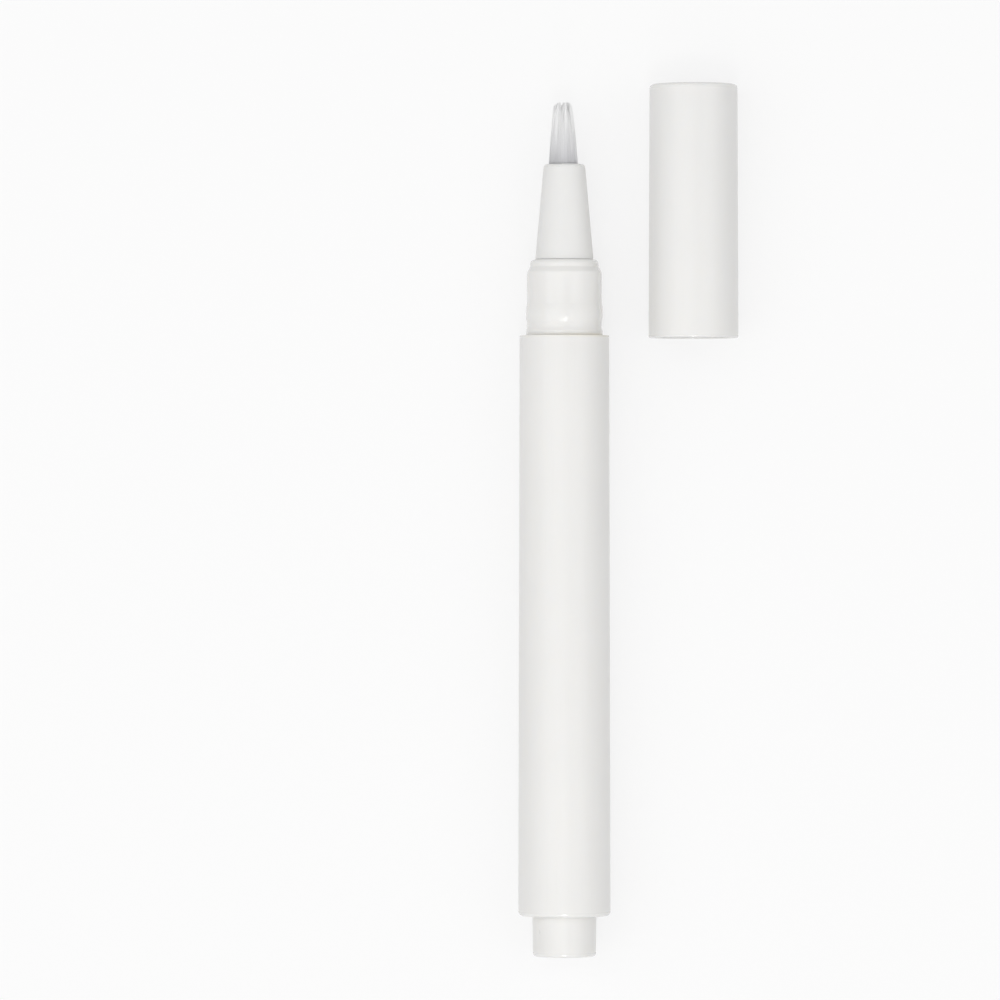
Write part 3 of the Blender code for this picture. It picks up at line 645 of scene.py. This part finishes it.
threaded_rod = grow(
    thread_tree(),
    "threaded_push_rod",
    {
        "Rear": rod_low.y,
        "Front": groove_rear,
        "Radius": thread_radius,
        "Depth": 0.00028,
        "Flat Distance": flat_distance,
        "Lead": 0.003,
        "Starts": 2.0,
        "Rows": 420,
        "Facets": 48,
        "Finish": acetal,
    },
)
rod_head = turned_piece(
    "push_rod_head",
    [
        (0, rod_high.y),
        (head_radius, rod_high.y, head_front_edge),
        (head_radius, head_rear, head_rear_edge),
        (flat_distance, head_rear),
        (flat_distance, head_root),
        (0, head_root),
    ],
    acetal,
    facets=72,
)
for piece in (threaded_rod, rod_head):
    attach(piece, "screw")
    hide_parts("push_rod")


# Piston. The tank's sliding bottom, moulded in soft plastic. Its two thin lips wipe the barrel's bore,
# and the socket in its back snaps over the screw's head.
piston_low, piston_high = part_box("piston")
lip_radius = (piston_high.x - piston_low.x) / 2
lip_length = 0.0012
waist = 0.0004
waist_radius = lip_radius - waist
hollow_radius = waist_radius - 0.0010
piston_face = piston_high.y - 0.0015
nose_radius = 0.0043
nose_end_radius = nose_radius - 0.0006
hub_radius = thread_radius + 0.0015
slot_radius = flat_distance + clearance
socket_rear = head_rear - clearance
head_socket_radius = head_radius + clearance
hollow_floor = rod_high.y + clearance

piston = turned_piece(
    "oil_piston",
    [
        (0, piston_high.y),
        (nose_end_radius, piston_high.y, soft_edge),
        (nose_radius, piston_face, fine_edge),
        (lip_radius, piston_face, fine_edge),
        (lip_radius, piston_face - lip_length, soft_edge),
        (waist_radius, piston_face - lip_length - waist, soft_edge),
        (waist_radius, piston_low.y + lip_length + waist, soft_edge),
        (lip_radius, piston_low.y + lip_length, soft_edge),
        (lip_radius, piston_low.y, fine_edge),
        (hollow_radius, piston_low.y, fine_edge),
        (hollow_radius, hollow_floor, soft_edge),
        (hub_radius, hollow_floor, soft_edge),
        (hub_radius, piston_low.y, fine_edge),
        (slot_radius, piston_low.y, sharp_edge),
        (slot_radius, socket_rear),
        (head_socket_radius, socket_rear),
        (head_socket_radius, hollow_floor, fine_edge),
        (0, hollow_floor),
    ],
    plastic(
        "soft waxy plastic",
        (0.71, 0.72, 0.72),
        0.44,
        {"Grain Size": 0.0004, "Grain Depth": 0.2, "Draw Lines": 0.1, "Smears": 0.20},
        (pen_x, piston_low.y, pen_z),
    ),
    facets=96,
)
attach(piston, "piston")
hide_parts("piston")


# Brush. About fifteen hundred fine nylon bristles, bonded with resin into a ring round the feed tube.
# They draw in towards the tip, and oil gathers them there into a few uneven locks.
brush_low, brush_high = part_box("brush")
tuft_radius = (brush_high.x - brush_low.x) / 2
tuft_front = brush_high.y - 0.0112
tuft_root = tuft_front - 0.0002
tuft_x = pen_x - 0.00017
bond_radius = tuft_radius + 0.00008
core_radius = 0.00115


def tuft_tree():
    """Bristles spread evenly over a ring, drawn in and gathered into locks towards their tips."""
    floats = ["Root Y", "Outer Radius", "Inner Radius", "Length", "Thickness", "Locks"]
    tree, given = begin_piece("brush tuft", "Start", floats, ["Bristles", "Seed"])
    bristle_points = 8
    bristle_sides = 5
    tip_thinning = 0.45
    lock_turn = 0.9
    lock_pull = 0.11
    root_spread = 1.03
    taper = 0.18
    tip_taper = 0.20
    gap_depth = 0.10
    dome_drop = 0.055
    notch_drop = 0.12
    left_drop = 0.028
    uneven_drop = 0.022
    stray = 0.00006
    lean = 0.00012

    def sums(start, *steps):
        """Does one sum after another, each on the result of the one before it."""
        value = start
        for operation, *others in steps:
            value = figure(tree, operation, value, *others)
        return value

    points, height = straight_points(tree, bristle_points)
    inputs = {"Geometry": marked(tree, points, "along", height), "Amount": given["Bristles"]}
    copies = place_node(tree, "GeometryNodeDuplicateElements", inputs, domain="SPLINE")
    number = copies.outputs["Duplicate Index"]

    def chance(low, high, extra):
        """A number between low and high, drawn once for each bristle."""
        seed = figure(tree, "ADD", given["Seed"], extra)
        inputs = {2: low, 3: high, "ID": number, "Seed": seed}
        return place_node(tree, "FunctionNodeRandomValue", inputs, data_type="FLOAT").outputs[1]

    share = sums(number, ("ADD", 0.5), ("DIVIDE", given["Bristles"]))
    inner_square = figure(tree, "MULTIPLY", given["Inner Radius"], given["Inner Radius"])
    outer_square = figure(tree, "MULTIPLY", given["Outer Radius"], given["Outer Radius"])
    band = figure(tree, "SUBTRACT", outer_square, inner_square)
    root = figure(tree, "SQRT", figure(tree, "MULTIPLY_ADD", share, band, inner_square))
    outwards = figure(tree, "DIVIDE", root, given["Outer Radius"])
    golden_angle = math.pi * (3 - math.sqrt(5))
    angle = figure(tree, "MULTIPLY", number, golden_angle)
    locks_angle = figure(tree, "MULTIPLY_ADD", angle, given["Locks"], lock_turn)
    locks_sine = figure(tree, "SINE", locks_angle)
    between = sums(
        figure(tree, "COSINE", locks_angle),
        ("ADD", 1.0),
        ("MULTIPLY", 0.5),
        ("POWER", 2.0),
        ("MULTIPLY", outwards),
    )
    square = figure(tree, "MULTIPLY", height, height)
    pull = sums(locks_sine, ("MULTIPLY", lock_pull), ("MULTIPLY", outwards), ("MULTIPLY", square))
    turned = figure(tree, "ADD", angle, pull)
    drawn_in = sums(
        height,
        ("MULTIPLY", -taper),
        ("ADD", root_spread),
        ("SUBTRACT", figure(tree, "MULTIPLY", square, tip_taper)),
        ("SUBTRACT", sums(between, ("MULTIPLY", square), ("MULTIPLY", gap_depth))),
    )
    radius = figure(tree, "MULTIPLY", root, drawn_in)
    dome = sums(outwards, ("POWER", 2.0), ("MULTIPLY", dome_drop))
    notch = figure(tree, "MULTIPLY", between, notch_drop)
    left = figure(tree, "SINE", angle)
    left = sums(left, ("MULTIPLY", -left_drop), ("MULTIPLY", outwards), ("MAXIMUM", 0.0))
    length = sums(
        1.0,
        ("SUBTRACT", dome),
        ("SUBTRACT", notch),
        ("SUBTRACT", left),
        ("SUBTRACT", chance(0.0, uneven_drop, 1.0)),
        ("MULTIPLY", given["Length"]),
    )
    stray_x = figure(tree, "MULTIPLY", chance(-stray, stray, 2.0), square)
    stray_z = figure(tree, "MULTIPLY", chance(-stray, stray, 3.0), square)
    across = figure(tree, "MULTIPLY_ADD", figure(tree, "SINE", turned), radius, given["Axis X"])
    across = figure(tree, "ADD", across, stray_x)
    up = figure(tree, "MULTIPLY_ADD", figure(tree, "COSINE", turned), radius, given["Axis Z"])
    up = figure(tree, "ADD", up, stray_z)
    leaned = figure(tree, "MULTIPLY_ADD", square, -lean, across)
    forward = figure(tree, "MULTIPLY_ADD", height, length, given["Root Y"])
    spot = place_node(tree, "ShaderNodeCombineXYZ", {0: leaned, 1: forward, 2: up})
    inputs = {"Geometry": copies.outputs["Geometry"], "Position": spot.outputs[0]}
    placed = place_node(tree, "GeometryNodeSetPosition", inputs).outputs[0]
    toned = marked(tree, placed, "tone", chance(0.0, 1.0, 4.0), "CURVE")
    thickness = sums(
        mark(tree, "along"),
        ("POWER", 3.0),
        ("MULTIPLY", -tip_thinning),
        ("ADD", 1.0),
        ("MULTIPLY", given["Thickness"]),
        ("MULTIPLY", 0.5),
    )
    return end_piece(tree, thick_wire(tree, toned, bristle_sides, 1.0, thickness), given)


def bristle_nylon():
    """Whitish filament, greyer towards its root, with painted shade that darkens the root on the -X side
    and lightens it on the +X side, and a little different in each strand."""
    material, tree, shader = begin_material("bristle nylon")
    shader.inputs["Roughness"].default_value = 0.34
    shader.inputs["IOR"].default_value = 1.53
    along = place_node(tree, "ShaderNodeAttribute", attribute_name="along").outputs["Fac"]
    tone = place_node(tree, "ShaderNodeAttribute", attribute_name="tone").outputs["Fac"]
    ramp = place_node(tree, "ShaderNodeValToRGB", {"Fac": along})
    ramp.color_ramp.elements[0].color = (0.73, 0.73, 0.75, 1)
    ramp.color_ramp.elements[0].position = 0.04
    ramp.color_ramp.elements[1].color = (0.99, 0.99, 0.99, 1)
    ramp.color_ramp.elements[1].position = 0.75
    middle = ramp.color_ramp.elements.new(0.35)
    middle.color = (0.86, 0.86, 0.87, 1)
    place = place_node(tree, "ShaderNodeTexCoord").outputs["Object"]
    across = place_node(tree, "ShaderNodeSeparateXYZ", {0: place}).outputs[0]
    side = figure(tree, "DIVIDE", figure(tree, "SUBTRACT", across, pen_x), tuft_radius)
    # Painted shade: near the root, the -X side is darker and the +X side lighter.
    painted_side_shade = figure(tree, "MULTIPLY", side, figure(tree, "MULTIPLY_ADD", along, -0.12, 0.12))
    shade = figure(tree, "ADD", painted_side_shade, figure(tree, "MULTIPLY_ADD", tone, 0.07, 0.93))
    inputs = {0: ramp.outputs["Color"], "Scale": shade}
    tinted = place_node(tree, "ShaderNodeVectorMath", inputs, operation="SCALE")
    tree.links.new(tinted.outputs[0], shader.inputs["Base Color"])
    return material


bristles = grow(
    tuft_tree(),
    "bristles",
    {
        "Axis X": tuft_x,
        "Root Y": tuft_root,
        "Outer Radius": tuft_radius - 0.00006,
        "Inner Radius": core_radius + 0.00005,
        "Length": brush_high.y - tuft_root,
        "Bristles": 1500,
        "Thickness": 0.000085,
        "Locks": 7.0,
        "Seed": 4,
        "Finish": bristle_nylon(),
    },
)
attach(bristles, "pen_body")
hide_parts("brush")

tuft_block = turned_piece(
    "bristle_bond",
    [
        (bond_radius, brush_low.y),
        (bond_radius, tuft_front, sharp_edge),
        (core_radius, tuft_front, sharp_edge),
        (core_radius, brush_low.y),
    ],
    plastic(
        "bonding resin",
        (0.66, 0.66, 0.66),
        0.22,
        {"Grain Size": 0.0002, "Grain Depth": 0.6, "Draw Lines": 0.0, "Smears": 0.1},
        (pen_x, tuft_front, pen_z),
    ),
    facets=72,
)
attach(tuft_block, "pen_body")
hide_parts("brush")


# Nose cone. The brush's holder, moulded in fine matte plastic. Its hollow spigot plugs into the
# neck's socket, and its front bore grips the bonded root of the brush.
cone_low, cone_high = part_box("nose_cone")
cone_tip = cone_high.y
joint_gap = 0.00003
cone_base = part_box("neck_collar")[1].y + joint_gap
cone_base_radius = (cone_high.x - cone_low.x) / 2
cone_tip_radius = 0.00345
cone_spigot_radius = 0.00369
cone_bore_radius = 0.00268
channel_radius = 0.0011
cone_cavity_radius = 0.00269
cone_cavity_front = cone_low.y + 0.0100
channel_rear = cone_cavity_front + 0.0020
brush_seat = brush_low.y - clearance
cone_tip_edge = 0.00062
cone_base_edge = 0.00008
cone_bore_edge = 0.00006

nose_cone = turned_piece(
    "brush_holder_cone",
    [
        (cone_tip_radius, cone_tip, cone_tip_edge),
        (cone_base_radius, cone_base, cone_base_edge),
        (cone_spigot_radius, cone_base),
        (cone_spigot_radius, cone_low.y, fine_edge),
        (cone_cavity_radius, cone_low.y),
        (cone_cavity_radius, cone_cavity_front),
        (channel_radius, channel_rear),
        (channel_radius, brush_seat),
        (cone_bore_radius, brush_seat),
        (cone_bore_radius, cone_tip, cone_bore_edge),
    ],
    plastic(
        "fine matte plastic",
        (0.850, 0.846, 0.832),
        0.46,
        {"Grain Size": 0.00022, "Grain Depth": 0.8, "Draw Lines": 0.0, "Smears": 0.08},
        (pen_x, cone_tip, pen_z),
        milky,
    ),
)
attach(nose_cone, "pen_body")
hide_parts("nose_cone")


# Neck collar. One white moulding: a ribbed spigot pressed into the barrel, a foot that the cap's
# mouth meets, a rounded bead that the cap snaps over, and a stepped ring that its liner seals on.
collar_low, collar_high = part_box("neck_collar")
neck_foot = barrel_front + joint_gap
foot_front = barrel_front + 0.00075
foot_slope_front = barrel_front + 0.0012
neck_front = collar_high.y - 0.00165
step_slope_front = neck_front + 0.00040
step_slope_rear = neck_front - 0.00045
neck_radius = 0.00627
foot_radius = neck_radius + 0.00015
step_ring_radius = 0.00575
socket_radius = 0.00399
socket_floor = collar_high.y - 0.0060
web_rear = socket_floor - 0.0018
spigot_bore_front = socket_floor - 0.0036
spigot_radius = 0.0059
spigot_root_radius = spigot_radius - 0.0002
spigot_bore_radius = 0.0046
bead_rear = barrel_front + 0.0022
bead_front = bead_rear + 0.0031
bead_height = 0.00019
step_ring_edge = 0.00074
step_slope_edge = 0.0006
foot_edge = 0.00005
spigot_edge = 0.00015
socket_edge = 0.00012


def bead_corners(steps=20):
    """The bead's round bulge over the neck, from its front to its rear."""
    half_length = (bead_front - bead_rear) / 2
    curve_radius = (half_length**2 + bead_height**2) / (2 * bead_height)
    corners = []
    for step in range(1, steps):
        away = half_length * (1 - 2 * step / steps)
        bulge = math.sqrt(curve_radius**2 - away**2) - curve_radius + bead_height
        corners.append((neck_radius + bulge, (bead_front + bead_rear) / 2 + away))
    return corners


def seal_ring_corners():
    """Two raised rings round the spigot, which seal the tank."""
    half_base = 0.0005
    half_top = 0.0003
    corners = []
    for middle in (barrel_front - 0.00167, barrel_front - 0.00333):
        corners.append((spigot_root_radius, middle + half_base))
        corners.append((spigot_radius, middle + half_top, sharp_edge))
        corners.append((spigot_radius, middle - half_top, sharp_edge))
        corners.append((spigot_root_radius, middle - half_base))
    return corners


collar_plastic = plastic(
    "neck white plastic",
    (0.872, 0.865, 0.847),
    0.19,
    {"Grain Size": 0.00016, "Grain Depth": 0.25, "Draw Lines": 0.2, "Smears": 0.12},
    (pen_x, neck_foot, pen_z),
    milky,
)
neck_collar = turned_piece(
    "neck_with_snap_bead",
    [
        (step_ring_radius, collar_high.y, step_ring_edge),
        (step_ring_radius, step_slope_front, soft_edge),
        (neck_radius, step_slope_rear, step_slope_edge),
        (neck_radius, bead_front),
        *bead_corners(),
        (neck_radius, bead_rear),
        (neck_radius, foot_slope_front),
        (foot_radius, foot_front, soft_edge),
        (foot_radius, neck_foot, foot_edge),
        (spigot_root_radius, neck_foot),
        *seal_ring_corners(),
        (spigot_root_radius, collar_low.y, spigot_edge),
        (spigot_bore_radius, collar_low.y),
        (spigot_bore_radius, spigot_bore_front),
        (channel_radius, web_rear),
        (channel_radius, socket_floor),
        (socket_radius, socket_floor),
        (socket_radius, collar_high.y, socket_edge),
    ],
    collar_plastic,
    facets=192,
)


def seam_darkening(material, seam_y):
    """An amber darkening along the seam between neck and barrel, with painted shade that makes it
    stronger towards +X, the side away from the key lamp.
    """
    tree = material.node_tree
    shader = tree.nodes["Principled BSDF"]
    clean = shader.inputs["Base Color"].links[0].from_socket
    place = tree.nodes.new("ShaderNodeTexCoord").outputs["Object"]
    parted = place_node(tree, "ShaderNodeSeparateXYZ", {0: place}).outputs
    away = figure(tree, "ABSOLUTE", figure(tree, "SUBTRACT", parted[1], seam_y))
    inputs = {"Value": away, "From Min": 0.00008, "From Max": 0.00050, "To Min": 1.0, "To Max": 0.0}
    seam_band = place_node(tree, "ShaderNodeMapRange", inputs, interpolation_type="SMOOTHSTEP")
    # Painted shade: the darkening grows from the -X side to the +X side, away from the key lamp.
    left = pen_x - neck_radius
    right = pen_x + neck_radius
    inputs = {"Value": parted[0], "From Min": left, "From Max": right, "To Min": 0.35, "To Max": 1.0}
    side = place_node(tree, "ShaderNodeMapRange", inputs)
    patches = noise(tree, place, 400.0, 2.0)
    share = figure(tree, "MULTIPLY", seam_band.outputs[0], side.outputs[0])
    share = figure(tree, "MULTIPLY", share, figure(tree, "MULTIPLY_ADD", patches, 0.6, 0.7))
    amber = (0.97, 0.94, 0.87, 1)
    inputs = {0: share, 6: clean, 7: amber}
    seam_darkened = place_node(tree, "ShaderNodeMix", inputs, data_type="RGBA", blend_type="MULTIPLY")
    tree.links.new(seam_darkened.outputs[2], shader.inputs["Base Color"])


# Both plastics get the seam's amber darkening and its painted shade.
for material in (collar_plastic, barrel_plastic):
    seam_darkening(material, barrel_front)
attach(neck_collar, "pen_body")
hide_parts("neck_collar")


# Feed tube. A fine natural tube that carries oil from the neck into the middle of the brush.
# It is pressed through the neck's web and the cone.
feed_low, feed_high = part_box("feed_tube")
feed_radius = (feed_high.x - feed_low.x) / 2
feed_bore_radius = feed_radius - 0.00035
tube_edge = 0.00008
feed_tube = turned_piece(
    "oil_feed_tube",
    [
        (feed_radius, feed_high.y, tube_edge),
        (feed_radius, feed_low.y, tube_edge),
        (feed_bore_radius, feed_low.y, tube_edge / 2),
        (feed_bore_radius, feed_high.y, tube_edge / 2),
    ],
    natural_plastic,
    facets=48,
)
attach(feed_tube, "pen_body")
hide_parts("feed_tube")


# Cap. A closed tube of the barrel's white plastic with a rounded end, pulled off and lying beside
# the pen. A low ring inside its mouth snaps over the neck's bead.
cap_low, cap_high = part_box("cap_shell")
cap_x = (cap_low.x + cap_high.x) / 2
cap_z = (cap_low.z + cap_high.z) / 2
cap_mouth_radius = (cap_high.x - cap_low.x) / 2
cap_end_radius = cap_mouth_radius - 0.00016
cap_bore_radius = cap_mouth_radius - 0.00077
cap_inner_end = cap_high.y - 0.0012
snap_middle = cap_low.y + 0.0060
snap_reach = 0.0005
snap_radius = cap_bore_radius - 0.0002
cap_end_edge = 0.0006
cap_mouth_edge = 0.00026
cap_inner_edge = 0.0004

cap_shell = turned_piece(
    "cap_shell_outer",
    [
        *gate_mark(cap_high.y, -1),
        (cap_end_radius, cap_high.y, cap_end_edge),
        (cap_mouth_radius, cap_low.y, cap_mouth_edge),
        (cap_bore_radius, cap_low.y, fine_edge),
        (cap_bore_radius, snap_middle - snap_reach),
        (snap_radius, snap_middle, cap_inner_edge),
        (cap_bore_radius, snap_middle + snap_reach),
        (cap_bore_radius, cap_inner_end, cap_inner_edge),
        (0, cap_inner_end),
    ],
    plastic(
        "cap white plastic",
        white,
        0.31,
        {"Grain Size": 0.00016, "Grain Depth": 0.35, "Draw Lines": 0.5, "Smears": 0.12},
        (cap_x, cap_low.y, cap_z),
        milky,
    ),
    facets=192,
    x=cap_x,
    z=cap_z,
)
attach(cap_shell, "cap")
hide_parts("cap_shell")


# Cap liner. The inner cup of natural plastic, which seals round the neck's step ring and keeps the
# brush from drying. Its rim and six ribs hold it in the cap.
liner_low, liner_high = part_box("cap_liner")
liner_rim_radius = cap_bore_radius - clearance
liner_rim_front = liner_low.y + 0.0020
liner_rim_edge = 0.00012
seal_radius = step_ring_radius + clearance
liner_wall = 0.0008
liner_bore_radius = 0.00519
liner_end_bore_radius = liner_bore_radius - 0.0008
liner_step = liner_low.y + 0.00165
liner_floor = liner_high.y - 0.0010
liner_rib_width = 0.0008
liner_rib_rear = liner_low.y + 0.0019
liner_rib_edge = 0.00008
liner_slope = (liner_bore_radius - liner_end_bore_radius) / (liner_floor - liner_low.y)
liner_plastic = plastic(
    "liner natural plastic",
    (0.78, 0.79, 0.78),
    0.38,
    {"Grain Size": 0.0003, "Grain Depth": 0.25, "Draw Lines": 0.2, "Smears": 0.10},
    (cap_x, liner_low.y, cap_z),
)
cap_liner = turned_piece(
    "sealing_liner",
    [
        (0, liner_high.y),
        (liner_end_bore_radius + liner_wall, liner_high.y, liner_wall),
        (liner_bore_radius + liner_wall, liner_rim_front),
        (liner_rim_radius, liner_rim_front),
        (liner_rim_radius, liner_low.y, liner_rim_edge),
        (seal_radius, liner_low.y, fine_edge),
        (seal_radius, liner_step),
        (liner_bore_radius, liner_step, sharp_edge),
        (liner_end_bore_radius, liner_floor, liner_wall / 2),
        (0, liner_floor),
    ],
    liner_plastic,
    x=cap_x,
    z=cap_z,
)
liner_ribs = grow(
    rib_ring,
    "liner_ribs",
    {"Count": 6, "Axis X": cap_x, "Axis Z": cap_z, "Finish": liner_plastic},
    rib(
        liner_rib_width,
        liner_bore_radius + liner_wall / 2,
        liner_rim_radius,
        liner_rib_rear,
        liner_floor,
        liner_rib_edge,
        liner_slope,
    ),
)
for piece in (cap_liner, liner_ribs):
    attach(piece, "cap")
    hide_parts("cap_liner")


# Floor, light and camera. The pen lies on a plain white table under broad soft lamps, and is seen
# from straight above. The gloss card gives no light of its own and shows only in shiny surfaces.
table_mesh = bpy.data.meshes.new("table")
reach = 4
table_corners = [(-reach, -reach, 0), (reach, -reach, 0), (reach, reach, 0), (-reach, reach, 0)]
table_mesh.from_pydata(table_corners, [], [(0, 1, 2, 3)])
table_top = add_object("table_top", table_mesh)


def lit_or_seen(tree, lit, seen):
    """One shader for the light it returns, and another for what the camera sees itself, or in
    gloss or through something clear."""
    path = tree.nodes.new("ShaderNodeLightPath").outputs
    direct = figure(tree, "MAXIMUM", path["Is Camera Ray"], path["Is Glossy Ray"])
    direct = figure(tree, "MAXIMUM", direct, path["Is Transmission Ray"])
    inputs = {0: direct, 1: lit.outputs[0], 2: seen.outputs[0]}
    return place_node(tree, "ShaderNodeMixShader", inputs).outputs[0]


def table_white():
    """White to the eye, with the object's soft shadow, and a calmer grey in the light it returns."""
    material = bpy.data.materials.new("table white")
    material.use_nodes = True
    tree = material.node_tree
    tree.nodes.clear()
    lit = place_node(tree, "ShaderNodeBsdfDiffuse", {"Color": (0.90, 0.90, 0.90, 1)})
    glow = place_node(tree, "ShaderNodeEmission", {"Color": (1, 1, 1, 1), "Strength": 1.0})
    glow_share = 0.74
    inputs = {0: glow_share, 1: lit.outputs[0], 2: glow.outputs[0]}
    bright = place_node(tree, "ShaderNodeMixShader", inputs)
    plain = place_node(tree, "ShaderNodeBsdfDiffuse", {"Color": (0.70, 0.70, 0.70, 1)})
    place_node(tree, "ShaderNodeOutputMaterial", {"Surface": lit_or_seen(tree, plain, bright)})
    return material


table_mesh.materials.append(table_white())

world = bpy.data.worlds.new("studio")
bpy.context.scene.world = world
world.use_nodes = True
studio = world.node_tree
studio.nodes.clear()
seen_white = place_node(studio, "ShaderNodeBackground", {"Color": (1, 1, 1, 1), "Strength": 1.0})
room_light = place_node(studio, "ShaderNodeBackground", {"Color": (1, 1, 1, 1), "Strength": 0.60})
background = lit_or_seen(studio, room_light, seen_white)
place_node(studio, "ShaderNodeOutputWorld", {"Surface": background})


def softbox(name, place, width, depth, watts):
    """A soft lamp that faces the middle of the pen and its cap."""
    lamp = bpy.data.lights.new(name, "AREA")
    lamp.shape = "RECTANGLE"
    lamp.size = width
    lamp.size_y = depth
    lamp.energy = watts
    stand = add_object(name, lamp)
    stand.location = place
    stand.rotation_euler = (-Vector(place)).to_track_quat("-Z", "Y").to_euler()
    return stand


softbox("key_softbox", (-0.80, -0.20, 1.46), 1.80, 1.80, 8.7)
softbox("fill_softbox", (1.05, -0.05, 1.40), 1.20, 1.20, 3.4)
softbox("front_softbox", (-0.01, -0.44, 1.44), 0.28, 0.22, 1.6)
softbox("tall_softbox", (-0.01, -1.15, 0.90), 0.20, 1.20, 1.2)
gloss_card = softbox("gloss_card", (-0.01, -0.95, 1.15), 0.36, 0.80, 12.0)
gloss_card.visible_diffuse = False

view_x = -0.02152
view_y = 0.00338
view_distance = 1.20
view_width = 0.1676
camera_data = bpy.data.cameras.new("camera")
camera_data.angle = 2 * math.atan(view_width / 2 / view_distance)
camera = add_object("camera", camera_data)
camera.location = (view_x, view_y, pen_z + view_distance)
bpy.context.scene.camera = camera
bpy.context.scene.view_settings.view_transform = "Standard"
